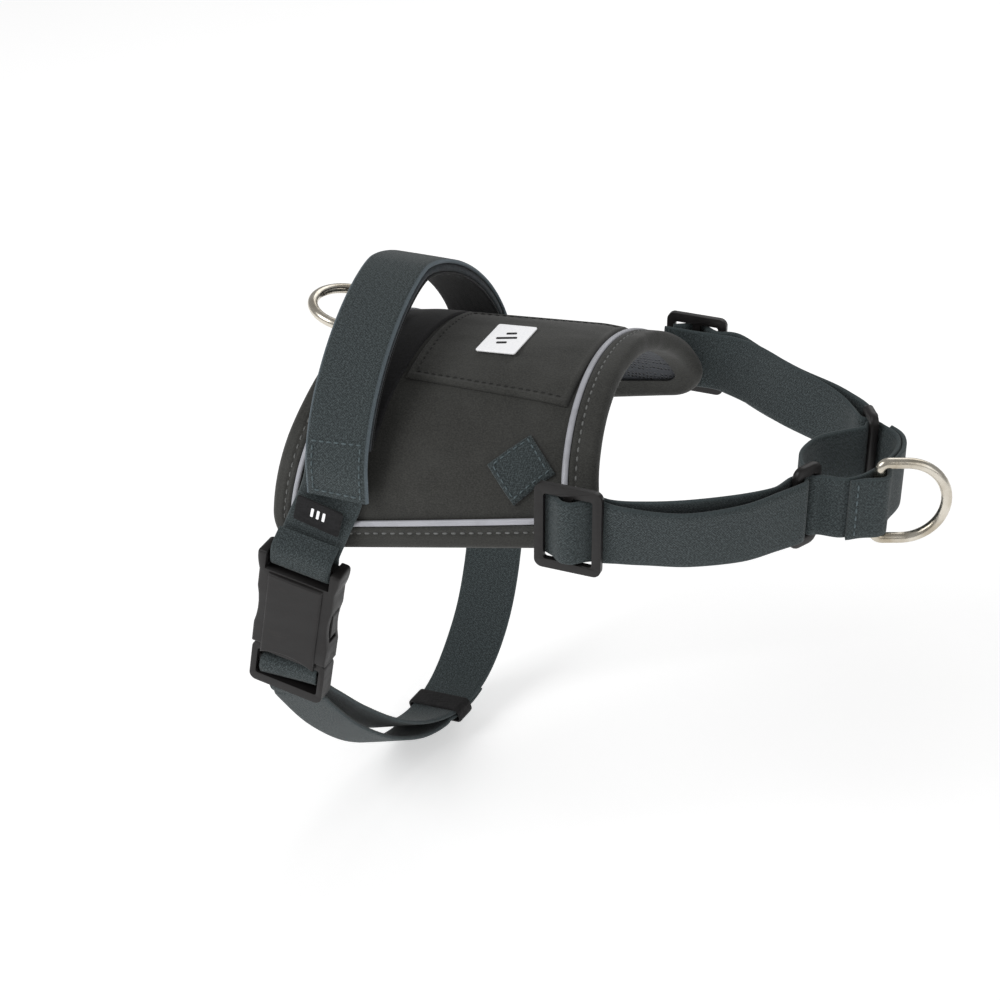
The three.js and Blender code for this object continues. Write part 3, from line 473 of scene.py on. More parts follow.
# %% Saddle sizes
crown_radius, crown_angle, shoulder_radius = 82.0, math.radians(39), 38.0
ridge_slope = 0.08
saddle_top = 4.8  # height of the outer face above the inner face
saddle_front, front_flare = 92.0, 13.0
saddle_rear, rear_flare = -23.5, 10.0
rear_tuck, tuck_from, tuck_length = 0.1, -5.0, 28.0
half_girth, bottom_slope, corner_radius = 102.5, 0.145, 15.0
binding_width, binding_thick, bind_gap = 10.0, 0.8, 0.42
piping_width, piping_height = 2.4, 1.6
gap = 0.3
web_width, web_thick = 25.0, 1.7
sides = ((-1, "right"), (1, "left"))
crown_end = crown_radius * crown_angle
shoulder_end = crown_end + shoulder_radius * (math.pi / 2 - crown_angle)
crown_half = crown_radius * math.sin(crown_angle)
crown_drop = crown_radius * (1 - math.cos(crown_angle))
saddle_half = crown_half + shoulder_radius * (1 - math.sin(crown_angle))
print("the saddle is", round(2 * saddle_half, 1), "mm wide")


# %% Wrap and pattern
def wrap(x, s, h):
    """The point x ahead, s along the outer face from the ridge and h above the inner face. The
    section is an arc of the crown's radius, an arc of the shoulder's radius, then a straight line;
    h moves the point along the section's normal, and the rear end is drawn in by a parabola."""
    a = np.abs(s)
    turn = np.where(a < crown_end, a / crown_radius,
                    np.minimum(crown_angle + (a - crown_end) / shoulder_radius, math.pi / 2))
    on_crown = a < crown_end
    y = np.where(on_crown, crown_radius * np.sin(turn),
                 crown_half + shoulder_radius * (np.sin(turn) - math.sin(crown_angle)))
    drop = np.where(on_crown, crown_radius * (1 - np.cos(turn)),
                    crown_drop + shoulder_radius * (math.cos(crown_angle) - np.cos(turn)))
    drop = drop + np.maximum(0, a - shoulder_end)
    off = h - saddle_top
    tuck = 1 - rear_tuck * (np.maximum(0, tuck_from - x) / tuck_length) ** 2
    return np.stack([x + 0 * a, np.sign(s) * (y + off * np.sin(turn)) * tuck,
                     saddle_top + ridge_slope * x - drop + off * np.cos(turn)], -1)


def pattern(u, row, inset):
    """A point of the flat pattern: u from the rear edge to the front edge, row from -2 to 2 across
    (beyond 1 it goes round the corner), inset in from the outline. Returns x and s."""
    w = np.minimum(np.abs(row), 1)
    corner = np.clip(np.abs(row) - 1, 0, 1) * math.pi / 2
    r = corner_radius - inset
    slack = half_girth - corner_radius
    share = (((slack * w + r * np.sin(corner))) / half_girth) ** 2
    trim = r * (1 - np.cos(corner)) + inset
    rear = saddle_rear - rear_flare * share + trim
    front = saddle_front + front_flare * share - trim
    x = rear + (front - rear) * u
    reach = (half_girth - bottom_slope * x - corner_radius) * w + r * np.sin(corner)
    return x, np.sign(row) * reach


def off_ridge(s):
    """Keeps s a hair off zero, where it would belong to neither side."""
    return np.where(np.abs(s) < 1e-6, 1e-6, s)


def fill_height(x, s):
    """How far the padding lifts the cloth: up to nearly 1 mm in the middle of each field, nothing at
    the piping, and nothing where the girth webbing is sewn down."""
    reach = half_girth - bottom_slope * x
    share = np.minimum((np.abs(s) / half_girth) ** 2, 1)
    ahead = saddle_front + front_flare * share - x
    behind = x - saddle_rear + rear_flare * share
    edge = np.minimum(np.minimum(ahead, behind), reach - np.abs(s)) - binding_width - piping_width
    field = smooth(0, 13, edge)
    sewn = smooth(12, 20, np.abs(x)) + smooth(52, 40, np.abs(s))
    return 0.9 * field * np.minimum(1, sewn)


ridge = wrap(np.array([0.0]), np.array([1e-6]), saddle_top)[0]
print("the ridge above the origin is at", ridge.round(2))

# %% [markdown]
# ## The padded shell
# The shell is foam with a knitted face, held flat by its seams and free to rise between them. It
# starts as a thin closed slab. Blender's Cloth, with a little pressure inside and everything sewn
# pinned, then lets the outer face settle, and the result is kept to a quarter of a millimetre so that
# the layers on top stay clear.

# %% Shell slab
shell_rows, shell_columns = 150, 110
shell_inset = 2.6
row_at = np.linspace(-2, 2, shell_rows)
straight = 1.6  # rows up to here span the straight part, and the rest the corners
part_out = np.abs(row_at)
row_at = np.sign(row_at) * np.where(part_out < straight, part_out / straight,
                                    1 + (part_out - straight) / (2 - straight))
rows_grid, u_grid = np.meshgrid(row_at, np.linspace(0, 1, shell_columns), indexing="ij")
shell_x, shell_s = pattern(u_grid, rows_grid, shell_inset)
shell_s = off_ridge(shell_s)
shell_rise = fill_height(shell_x, shell_s)
outer_face = wrap(shell_x, shell_s, saddle_top + shell_rise)
inner_face = wrap(shell_x, shell_s, 1.8)
shell = build("saddle_shell_padded", *slab(outer_face, inner_face))


# %% Settle it with cloth
def settle(piece, pinned, most, frames=16):
    """Cloth with pressure and no gravity; pinned points stay, and no point moves further than most."""
    rest = np.empty(len(piece.data.vertices) * 3)
    piece.data.vertices.foreach_get("co", rest)
    rest = rest.reshape(-1, 3)
    sewn = piece.vertex_groups.new(name="sewn")
    sewn.add(np.flatnonzero(pinned).tolist(), 1.0, "REPLACE")
    cloth = piece.modifiers.new("settle", "CLOTH")
    cloth.settings.vertex_group_mass = "sewn"
    cloth.settings.quality = 4
    cloth.settings.use_pressure = True
    cloth.settings.uniform_pressure_force = 3
    cloth.settings.effector_weights.gravity = 0
    for number in range(1, frames + 1):
        bpy.context.scene.frame_set(number)
    seen = piece.evaluated_get(bpy.context.evaluated_depsgraph_get()).to_mesh()
    moved = np.empty(len(seen.vertices) * 3)
    seen.vertices.foreach_get("co", moved)
    step = moved.reshape(-1, 3) - rest
    length = np.linalg.norm(step, axis=1, keepdims=True)
    step *= np.minimum(1, most * MM / np.maximum(length, 1e-9))
    piece.modifiers.remove(cloth)
    bpy.context.scene.frame_set(1)
    piece.data.vertices.foreach_set("co", (rest + step).ravel())
    piece.data.update()
    return float(np.linalg.norm(step, axis=1).max() / MM)


# The slab keeps its order of points: the outer face, then the inner one. Only the outer face is free,
# and only where the padding lifts it clear of the seams.
sewn_down = np.ones(2 * shell_x.size, bool)
sewn_down[:shell_x.size] = shell_rise.ravel() <= 0.35
print("shell moved by, mm:", round(settle(shell, sewn_down, 0.25), 3))
dress(shell, softshell, "shell", "saddle", "saddle_shell")

# %% Mesh lining
lining_rows, lining_columns = 120, 80
row_fine = np.linspace(-2, 2, lining_rows)
lining_grid, lining_u = np.meshgrid(row_fine, np.linspace(0, 1, lining_columns), indexing="ij")
lining_x, lining_s = pattern(lining_u, lining_grid, 2.4)
lining_s = off_ridge(lining_s)
quilt = 0.35 * np.sin(math.pi * lining_x / 24) ** 2 * np.sin(math.pi * lining_s / 24) ** 2
lining_top, lining_face = wrap(lining_x, lining_s, 1.5), wrap(lining_x, lining_s, 0.35 - quilt)
lining = build("saddle_lining_mesh", *slab(lining_top, lining_face))
dress(lining, lining_mesh, "lining", "saddle", "saddle_lining")

# %% [markdown]
# ## Binding and piping
# A strip of the shell's own cloth is folded round the edge and sewn through, so it puffs a little on
# both sides of its stitches. The reflective piping is a cord in a narrow tape, caught in the same
# seam. Both are one section carried round the saddle's outline.


# %% Round the outline
def outline(count):
    """u and row at evenly spaced places round the whole edge, from the front right corner."""
    n = 500
    row = np.concatenate([np.linspace(-2, 2, n), np.full(n, 2.0), np.linspace(2, -2, n), np.full(n, -2.0)])
    u = np.concatenate([np.ones(n), np.linspace(1, 0, n), np.zeros(n), np.linspace(0, 1, n)])
    x, s = pattern(u, row, 0.0)
    run = np.concatenate([[0], np.cumsum(np.hypot(np.diff(x), np.diff(s)))])
    at = np.linspace(0, run[-1], count, endpoint=False)
    return np.interp(at, run, u), np.interp(at, run, row), run[-1]


def edge_strip(name, insets, heights, count):
    """A section given as insets and heights, carried round the outline as a closed tube."""
    u, row, length = outline(count)
    x, s = pattern(u[:, None], row[:, None], np.asarray(insets)[None, :])
    points = wrap(x, s, np.asarray(heights)[None, :] + 0 * x)
    return build(name, points, quads(count, len(insets), True, True), sharp=60)


def binding_top(inset):
    """Height of the binding's upper face: a puff either side of the stitch line."""
    stitched = 0.55 * np.exp(-((inset - stitch_inset) / 0.8) ** 2)
    free_edge = 0.35 * smooth(binding_width - 0.8, binding_width, inset)
    return saddle_top + bind_gap + binding_thick + 0.45 - stitched - free_edge


stitch_inset = 7.4
edge_round = 3.0
middle_height = saddle_top / 2
swing = np.linspace(0, math.pi, 15)[1:-1]
over = np.linspace(binding_width, edge_round, 16)
outer_half = binding_top(edge_round) - middle_height
low_face = -bind_gap - binding_thick
outer_insets = np.concatenate([over, edge_round - edge_round * np.sin(swing), over[::-1]])
outer_heights = np.concatenate([
    binding_top(over),
    np.where(swing < math.pi / 2, middle_height + outer_half * np.cos(swing),
             middle_height + (middle_height - low_face) * np.cos(swing)),
    np.full(16, low_face)])
inner_swing = swing[::-1]
inner_round = edge_round - binding_thick
inner_half = middle_height + bind_gap
inner_insets = np.concatenate([[binding_width, edge_round], edge_round - inner_round * np.sin(inner_swing),
                               [edge_round, binding_width]])
inner_heights = np.concatenate([[-bind_gap] * 2, middle_height + inner_half * np.cos(inner_swing),
                                [saddle_top + bind_gap] * 2])
binding = edge_strip("edge_binding_folded", np.concatenate([outer_insets, inner_insets]),
                     np.concatenate([outer_heights, inner_heights]), 560)
dress(binding, softshell, "shell", "saddle", "edge_binding")

bead = np.linspace(0, 2 * math.pi, 18, endpoint=False)
pipe_middle = binding_width + gap + piping_width / 2
piping = edge_strip("reflective_piping_cord", pipe_middle + piping_width / 2 * np.cos(bead),
                    saddle_top + gap + piping_height / 2 + (piping_height / 2 + 0.1) * np.sin(bead), 560)
dress(piping, reflective, "piping", "saddle", "reflective_piping")


# %% [markdown]
# ## Layers on the saddle
# The top panel is a second piece of shell cloth with its edges folded under; the fold is a small
# roll along the seam. A band of black tape crosses under the handle, and two squares of webbing
# carry the pull of the chest strap.


# %% Cloth laid on the shell
def laid(name, x, s, low, thick, edge, fold, weave=None):
    """A layer over grids of x and s: its upper face falls to nothing over the last millimetre before
    the border, and a fold, 1.5 mm in, raises it."""
    lift = fill_height(x, s)
    rim = np.sqrt(np.clip(1 - (1 - np.clip(edge / 0.9, 0, 1)) ** 2, 0, 1))
    roll = fold * np.exp(-((edge - 1.5) / 1.0) ** 2)
    top = wrap(x, s, saddle_top + low + lift + 0.05 + (thick - 0.05) * rim + roll)
    bottom = wrap(x, s, saddle_top + low + lift)
    return build(name, *slab(top, bottom), weave, sharp=70)


def cosine_spread(count):
    """Places from -1 to 1, closer together at the ends."""
    return np.sin(np.linspace(-math.pi / 2, math.pi / 2, count))


panel_rear, panel_front, panel_half_rear, panel_half_front = 13.0, 79.0, 30.0, 35.0
a_grid, b_grid = np.meshgrid(cosine_spread(90), cosine_spread(80), indexing="ij")
panel_x = panel_rear + (panel_front - panel_rear) * (b_grid + 1) / 2
panel_half = panel_half_rear + (panel_half_front - panel_half_rear) * (b_grid + 1) / 2
panel_s = off_ridge(a_grid * panel_half)
panel_edge = np.minimum(panel_half - np.abs(panel_s), np.minimum(panel_x - panel_rear, panel_front - panel_x))
panel = laid("top_panel_cloth", panel_x, panel_s, gap, 1.0, panel_edge, 0.5)
dress(panel, softshell, "shell", "saddle", "top_panel")

band_rear, band_front, band_half = -9.5, 11.0, 58.0
a_grid, b_grid = np.meshgrid(np.linspace(-1, 1, 120), cosine_spread(30), indexing="ij")
band_x = (band_rear + band_front) / 2 + (band_front - band_rear) / 2 * b_grid
band_s = band_half * a_grid + 1e-6
band_edge = np.minimum(band_front - band_x, band_x - band_rear)
band = laid("back_band_tape", band_x, band_s, gap, 1.2, band_edge, 0.0)
dress(band, black_cloth, "black_trim", "saddle", "back_band")

patch_side, patch_place = 18.4, (70.2, 62.0)
a_grid, b_grid = np.meshgrid(cosine_spread(34), cosine_spread(34), indexing="ij")
patch_a, patch_b = a_grid * patch_side / 2, b_grid * patch_side / 2
patch_edge = patch_side / 2 - np.maximum(np.abs(patch_a), np.abs(patch_b))
patch_weave = np.tile(np.stack([patch_a, patch_b], -1).reshape(-1, 2), (2, 1))
for side, name in sides:
    patch_x = patch_place[0] + (patch_a + patch_b) * math.sqrt(0.5)
    patch_s = side * (patch_place[1] + (patch_a - patch_b) * math.sqrt(0.5))
    patch = laid(name + "_chest_patch_web", patch_x, patch_s, gap, web_thick, patch_edge, 0.0, patch_weave)
    dress(patch, webbing, "webbing", "saddle", name + "_chest_patch")

# %% [markdown]
# ## Small plates
# The label, the size tag and the bars on them are thin plates with round corners and soft edges.
# Their outline is shrunk ring by ring: a few rings make the rounded edge, the last ones close the
# face. Marks are plain bars, like a size marking without letters.


# %% Plates
def rounded(width, length, radius, count=10):
    """A rectangle with round corners: four quarter circles joined by straight sides."""
    quarter = np.linspace(0, math.pi / 2, count)
    turn = np.concatenate([quarter + k * math.pi / 2 for k in range(4)])
    cx = np.repeat([1, -1, -1, 1], count) * (width / 2 - radius)
    cy = np.repeat([1, 1, -1, -1], count) * (length / 2 - radius)
    return np.stack([cx + radius * np.cos(turn), cy + radius * np.sin(turn)], -1)


def plate(width, length, thick, radius, soft=0.3):
    """A closed plate round its own middle, as a grid of rings from the upper pole to the lower one."""
    steps = np.linspace(0, math.pi / 2, 5)
    face = rounded(width - 2 * soft, length - 2 * soft, radius - soft)
    rings = [face * share for share in (0, 0.35, 0.7, 0.9)]
    heights = [thick / 2] * 4
    for a in steps:
        inset = soft * (1 - math.sin(a))
        rings.append(rounded(width - 2 * inset, length - 2 * inset, radius - inset))
        heights.append(thick / 2 - soft * (1 - math.cos(a)))
    rings += [rings[-1], rings[4], rings[4] * 0]
    heights += [-thick / 2 + soft, -thick / 2, -thick / 2]
    return np.concatenate([np.array(rings), np.broadcast_to(np.array(heights)[:, None, None],
                                                            (len(rings), 40, 1))], -1)


def placed(grid, middle, across, up, out):
    """A plate's grid turned so that its width, length and thickness lie along three directions."""
    axes = np.stack([unit(np.asarray(v, float)) for v in (across, up, out)])
    return np.asarray(middle) + grid @ axes


def add_plate(name, size, middle, directions, material, slot, body, *nodes):
    """A finished plate: size is width, length, thickness, corner radius and edge softness."""
    grid = placed(plate(*size), middle, *directions)
    piece = build(name, grid, quads(grid.shape[0], grid.shape[1], False, True))
    return dress(piece, material, slot, body, *nodes)


# %% The white label
label_low, label_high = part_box("top_label")
label_middle = np.array((label_low + label_high) / 2) / MM
label_up = unit(np.array([-ridge_slope, 0, 1]))
label_ahead = unit(np.array([1, 0, ridge_slope]))
label_axes = (label_ahead, (0, 1, 0), label_up)
add_plate("top_label_satin", (16.0, 24.0, 0.8, 1.0, 0.25), label_middle + label_up * 0.75, label_axes,
          satin_painted_glow, "label", "saddle", "top_label")
for number, (aside, length) in enumerate(((-4.2, 4.0), (0.0, 8.0), (4.2, 4.0))):
    spot = label_middle + label_up * 1.2 + np.array([0, aside, 0]) + label_ahead * 0.4 * (number - 1)
    tilted = unit(label_ahead + np.array([0, 0.25, 0]))
    square = np.cross(label_up, tilted)
    add_plate(f"label_bar_{number + 1}", (length, 1.5, 0.3, 0.4, 0.1), spot, (tilted, square, label_up),
              black_cloth, "label", "saddle")

# %% [markdown]
# ## Webbing
# A strap is a flat section carried along its route. At each place the width direction is made square
# to the route, and the section is a rectangle with soft edges. Places along and across, in
# millimetres, go into the weave map. Routes are smooth curves through a few points, the same points
# as in the design.


# %% Smooth routes
def route(points, closed=False, per_span=40):
    """A uniform Catmull-Rom curve: between neighbours a cubic whose slope at each point is half the
    way from the point before to the point after. Returns dense points and their share of the run."""
    p = np.asarray(points, float)
    if closed:
        ring = np.concatenate([p[-1:], p, p[:2]])
    else:
        ring = np.concatenate([2 * p[:1] - p[1:2], p, 2 * p[-1:] - p[-2:-1]])
    spans = len(ring) - 3
    t = np.linspace(0, spans, spans * per_span + 1)
    k = np.minimum(t.astype(int), spans - 1)
    f = (t - k)[:, None]
    before, here, there, after = (ring[k + i] for i in range(4))
    m0, m1 = (there - before) / 2, (after - here) / 2
    at = ((2 * f ** 3 - 3 * f ** 2 + 1) * here + (f ** 3 - 2 * f ** 2 + f) * m0
          + (3 * f ** 2 - 2 * f ** 3) * there + (f ** 3 - f ** 2) * m1)
    return at, t / spans


def lay(at, share, across, lift=None, step=1.1, closed=False):
    """Frames along a dense route, evenly spaced: the place, the run's direction, the width direction
    made square to it, and the normal, which is the first crossed with the second."""
    d = run_length(at)
    count = max(4, int(d[-1] / step))
    s = np.linspace(0, d[-1], count + 1)
    even = read_at(s, d, at)
    part = np.interp(s, d, share)
    ahead = np.gradient(even, axis=0)
    if closed:
        ahead[0] = ahead[-1] = even[1] - even[-2]
    ahead = unit(ahead)
    w = np.broadcast_to(across(even, part), even.shape)
    w = unit(w - ahead * np.sum(w * ahead, -1, keepdims=True))
    n = np.cross(ahead, w)
    if lift is not None:
        even = even + n * lift(even, part)[:, None]
        s = run_length(even)
        ahead = unit(np.gradient(even, axis=0))
        w = unit(w - ahead * np.sum(w * ahead, -1, keepdims=True))
        n = np.cross(ahead, w)
    return {"s": s, "at": even, "ahead": ahead, "w": w, "n": n, "closed": closed}


def web_section(width, thick, bulge=0.06):
    """Offsets across and through a strap: flat faces with a slight crown and quarter-round edges."""
    r = min(thick * 0.42, 0.8)
    flat = np.linspace(-1, 1, 13) * (width / 2 - r)
    turn = np.linspace(0, math.pi / 2, 4)[1:-1]
    top = thick / 2 + bulge * np.cos(flat / width * math.pi)
    right = np.stack([width / 2 - r + r * np.sin(turn), thick / 2 - r + r * np.cos(turn)], -1)
    upper = np.concatenate([np.stack([flat, top], -1), right, [[width / 2, 0]]])
    return np.concatenate([upper, -upper])


def strap(name, frames, width=web_width, thick=web_thick, bulge=0.06):
    """A closed strap along its frames, with the weave map, and both ends capped with quads."""
    section = web_section(width, thick, bulge)
    n = len(section)
    a, b = section[:, 0], section[:, 1]
    points = (frames["at"][:, None] + frames["w"][:, None] * a[None, :, None]
              + frames["n"][:, None] * b[None, :, None])
    weave = np.stack([frames["s"][:, None] + 0 * a[None, :], 0 * frames["s"][:, None] + a[None, :]], -1)
    faces = quads(len(points), n, False, True)
    if not frames["closed"]:
        j = np.arange(n // 2 - 1)
        cap = np.stack([j, j + 1, n - 2 - j, n - 1 - j], -1)
        faces = np.concatenate([faces, cap, cap[:, ::-1] + (len(points) - 1) * n])
    print(name, "is", round(float(frames["s"][-1]), 1), "mm long")
    return build(name, points, faces, weave, sharp=75)


def crosswise(*direction):
    """A width direction that is the same all along."""
    return lambda at, share: np.asarray(direction, float)


print("a route of three points has", len(route([(0, 0, 0), (10, 0, 0), (20, 5, 0)])[0]), "places")

# %% Places of the buckle, and where straps step over the edge
buckle_lean = math.radians(10)
buckle_mouth = np.array([-17.8, -74.5, -100.0])
buckle_x = np.array([math.cos(buckle_lean), 0, -math.sin(buckle_lean)])
buckle_z = np.array([math.sin(buckle_lean), 0, math.cos(buckle_lean)])


def from_buckle(x, y, z):
    """A point of the buckle's own frame: x across, y in towards the dog, z up along the strap."""
    return buckle_mouth + buckle_x * x + np.array([0, 1, 0]) * y + buckle_z * z


side_face = saddle_half + gap
sewn_middle = side_face + web_thick / 2
sewn_top = -22.6
over_edge = saddle_half + piping_height + 3.5 * gap + web_thick / 2
tail_gap = web_thick + gap
socket_length, end_bar, slot_height, end_bar_thick = 44.0, 3.0, 4.6, 4.5
slot_middle = socket_length - end_bar - slot_height / 2
bar_gap = end_bar_thick / 2 + gap + 0.2 + web_thick / 2
print("socket top at", from_buckle(0, 0, socket_length).round(1))

# %% Webbing sewn on each side of the saddle
right_points = [
    (0.6, -sewn_middle, sewn_top), (-0.6, -sewn_middle, -29), (-2.6, -sewn_middle - 0.3, -35),
    (-5.2, -over_edge, -42),
    from_buckle(0, bar_gap + 0.3, socket_length + 4), from_buckle(0, bar_gap, socket_length - 1.5),
    from_buckle(0, bar_gap - 0.9, slot_middle + 0.2), from_buckle(0, 0, slot_middle - 1),
    from_buckle(0, -bar_gap + 0.9, slot_middle + 0.2), from_buckle(0, -bar_gap, socket_length - 1.5),
    from_buckle(0, -bar_gap + 0.3, socket_length + 3),
    from_buckle(0, bar_gap - tail_gap + 0.2, socket_length + 8)]
sewn_across = unit(np.array([15.0, 0, -2.4]))


def right_across(at, share):
    """Square to the sewn end first, then level with the buckle."""
    k = smooth(0.12, 0.28, share)[:, None]
    return sewn_across * (1 - k) + buckle_x * k


right_frames = lay(*route(right_points), right_across, step=0.8)
dress(strap("right_girth_tab_web", right_frames), webbing, "webbing", "saddle", "right_girth_tab")
left_points = [(0, sewn_middle, sewn_top), (0.6, sewn_middle, -29), (1.2, sewn_middle + 0.3, -35),
               (2.4, over_edge, -42), (4, over_edge, -52), (5.6, over_edge, -62)]
left_frames = lay(*route(left_points), crosswise(30, 0, 4))
dress(strap("left_girth_tab_web", left_frames), webbing, "webbing", "saddle", "left_girth_tab")

# %% Handle: outer webbing, padding and lining
handle_top, handle_foot, handle_seam = 34.5, -31.0, -22.0
handle_ahead, handle_lean, handle_power = 2.5, -5.0, 2 / 1.55
handle_half = side_face + 2 * web_thick + gap + 0.6


def handle_route(inward, first, last):
    """Half a rounded arch: sideways by the cosine and upwards by the sine, each raised to a power
    that squares its shoulders a little, with straight feet below."""
    share = np.linspace(first, last, 500)
    a = math.pi * share
    half_span, rise = handle_half - inward, handle_top - inward - handle_seam
    up = np.clip(np.sin(a), 0, None) ** handle_power
    aside = -np.sign(np.cos(a)) * np.abs(np.cos(a)) ** handle_power * half_span
    at = np.stack([handle_ahead + handle_lean * up, aside, handle_seam + rise * up], -1)
    if first > 0:
        return at, share
    feet = [np.array([[handle_ahead, side * half_span, handle_foot]]) for side in (-1, 1)]
    return np.concatenate([feet[0], at, feet[1]]), np.concatenate([[0], share, [1]])


handle_frames = lay(*handle_route(web_thick / 2, 0, 1), crosswise(1, 0, 0))
dress(strap("handle_webbing_arch", handle_frames), handle_webbing, "webbing", "handle", "handle_webbing")
layer_gap, foam_thick, tape_thick = 0.5, 2.6, 1.0
padded_from, padded_to = 0.08, 0.92
foam_middle = web_thick + layer_gap + foam_thick / 2
foam_frames = lay(*handle_route(foam_middle, padded_from, padded_to), crosswise(1, 0, 0))
foam = strap("handle_foam_pad", foam_frames, 24.2, 2.8, 0.25)
dress(foam, padding, "foam", "handle", "handle_foam")
tape_middle = foam_middle + foam_thick / 2 + layer_gap + tape_thick / 2
lining_frames = lay(*handle_route(tape_middle, padded_from, padded_to), crosswise(1, 0, 0))
dress(strap("handle_lining_tape", lining_frames, 24.0, 1.1, 0.1), black_tape, "black_trim", "handle",
      "handle_lining")

# %% [markdown]
# ## Girth strap
# One length of webbing is sewn on the dog's left side, passes under the chest, climbs behind the
# buckle's plug, turns over its middle bar and comes back down outside itself. The part that moves
# with the buckle and the end that stays sewn are joined by one piece between them.

# %% Belly strap, its turn round the plug and its tail
plug_lower_bar = -13.2
strap_upper = over_edge + tail_gap + gap
belly_points = [
    from_buckle(0, 4 + gap + web_thick, plug_lower_bar), (-20.6, -67, -121), (-18.4, -57, -134),
    (-15.2, -43.5, -150), (-10.6, -25.5, -168), (-5.6, -6.5, -181.5), (-1, 12, -187), (2.5, 29.5, -184),
    (5, 43.5, -174), (7.5, 54.5, -156), (9, 62, -132), (9, 67.5, -106), (8, strap_upper - 0.2, -80),
    (6, strap_upper, -62), (3.6, strap_upper, -45)]


def belly_across(at, share):
    """The strap swings from lying across the buckle to lying along the dog under the chest."""
    sway = np.sin(math.pi * np.minimum(1, share / 0.88))
    return np.stack([0.95 + 0 * share, 0.45 * sway * share, 0.3 * sway - 0.12 * share], -1)


belly, belly_share = route(belly_points)
girth = strap("girth_strap_web", lay(belly, belly_share, belly_across))
dress(girth, webbing, "webbing", None, "girth_strap")
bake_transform(girth)

tail_from, tail_end, tail_bulge = 0.07, 0.52, 6.0


def tail_lift(at, share):
    """Off the main strap by its thickness, and further where the tail bows out near the buckle."""
    stand = np.sin(math.pi * np.minimum(1, share / 0.42) ** 1.25)
    return tail_gap + tail_bulge * stand


on_tail = (belly_share >= tail_from) & (belly_share <= tail_end)
tail_frames = lay(belly[on_tail], belly_share[on_tail], belly_across, tail_lift)
turn_points = [from_buckle(0, y, z) for y, z in (
    (6.0, -13.7), (5.9, -10.5), (4.5, -7.0), (1.8, -5.6), (-1.2, -5.7), (-2.7, -7.6), (-2.8, -9.5),
    (-2.7, -11.4), (-1.3, -13.6), (1.4, -14.2), (3.6, -15.7), (4.9, -18.4))]
turn_points += [tail_frames["at"][1], tail_frames["at"][4]]
turned, turned_share = route(turn_points)
tail_route = np.concatenate([turned[:-1], tail_frames["at"][4:]])
along_tail = np.linspace(tail_from, tail_end, len(tail_frames["at"]) - 4)
tail_share = np.concatenate([0 * turned_share[:-1], along_tail])
tail = strap("girth_tail_web", lay(tail_route, tail_share, belly_across, step=0.9), width=24.6)
dress(tail, webbing, "webbing", "girth", "girth_tail")

# %% [markdown]
# ## Chest strap
# Each side is one strap: sewn to the saddle, forward through a plastic loop, back outside itself and
# through the adjuster's two slots, over its middle bar. It is made as two pieces, split at the loop's
# rear bar; on the harness the outer run follows the adjuster when that slides, and the inner run does not.

# %% Chest strap points
loop_wire, loop_length, loop_depth = 3.4, 29.0, 9.6
loop_place, loop_heading = (164.5, 29.0), math.radians(62)
left_longer = 11.5
glide_place, glide_length, glide_thick = 95.0, 25.0, 2.4
chest_height, glide_raise, chest_lean = -23.0, 2.0, math.radians(12)
glide_out = over_edge + 1.5 * web_thick + 2 * gap + glide_thick / 2 + 0.8
glide_bar, glide_middle = 3.4, 3.0
wrap_out = glide_thick / 2 + gap + web_thick / 2


def chest_place(side, x, out, z):
    """A point of the right chest strap, carried to the given side; the left strap is let out, and
    drawn in towards the middle along its free part."""
    longer = left_longer if side > 0 else 0.0
    pull = 8 * math.sin(math.pi * min(max((x - 114) / 48, 0), 1)) if side > 0 else 0.0
    return np.array([x + longer * max(0.0, (x - 112) / (loop_place[0] - 112)), side * (out - pull), z])


def chest_across(side):
    """Upright, with the top edge leaning outwards along the free part."""
    def direction(at, share):
        part = np.clip((at[:, 0] - 107) / 60, 0, 1)
        a = chest_lean * np.sin(math.pi * part ** 0.7)
        return np.stack([0.3 * np.sin(a), side * 0.95 * np.sin(a), np.cos(a)], -1)
    return direction


# %% Rounded loops of wire
def tube(name, path, normal, across_half, out_half, power=2.0, corners=20):
    """A closed ring: a section round each point of a flat path. Power 2 is an ellipse; a higher one
    squares the section."""
    ahead = unit(np.roll(path, -1, 0) - np.roll(path, 1, 0))
    side = np.cross(ahead, normal)
    a = np.linspace(0, 2 * math.pi, corners, endpoint=False)
    c = np.sign(np.cos(a)) * np.abs(np.cos(a)) ** (2 / power)
    s = np.sign(np.sin(a)) * np.abs(np.sin(a)) ** (2 / power)
    across_half = np.broadcast_to(across_half, len(path))
    points = (path[:, None] + side[:, None] * (c[None, :] * across_half[:, None])[..., None]
              + np.asarray(normal)[None, None] * (s * out_half)[None, :, None])
    return build(name, points, quads(len(path), corners, True, True))


def even_ring(points, count):
    """A closed path resampled at even distances."""
    ring = np.concatenate([points, points[:1]])
    d = run_length(ring)
    return read_at(np.linspace(0, d[-1], count, endpoint=False), d, ring)


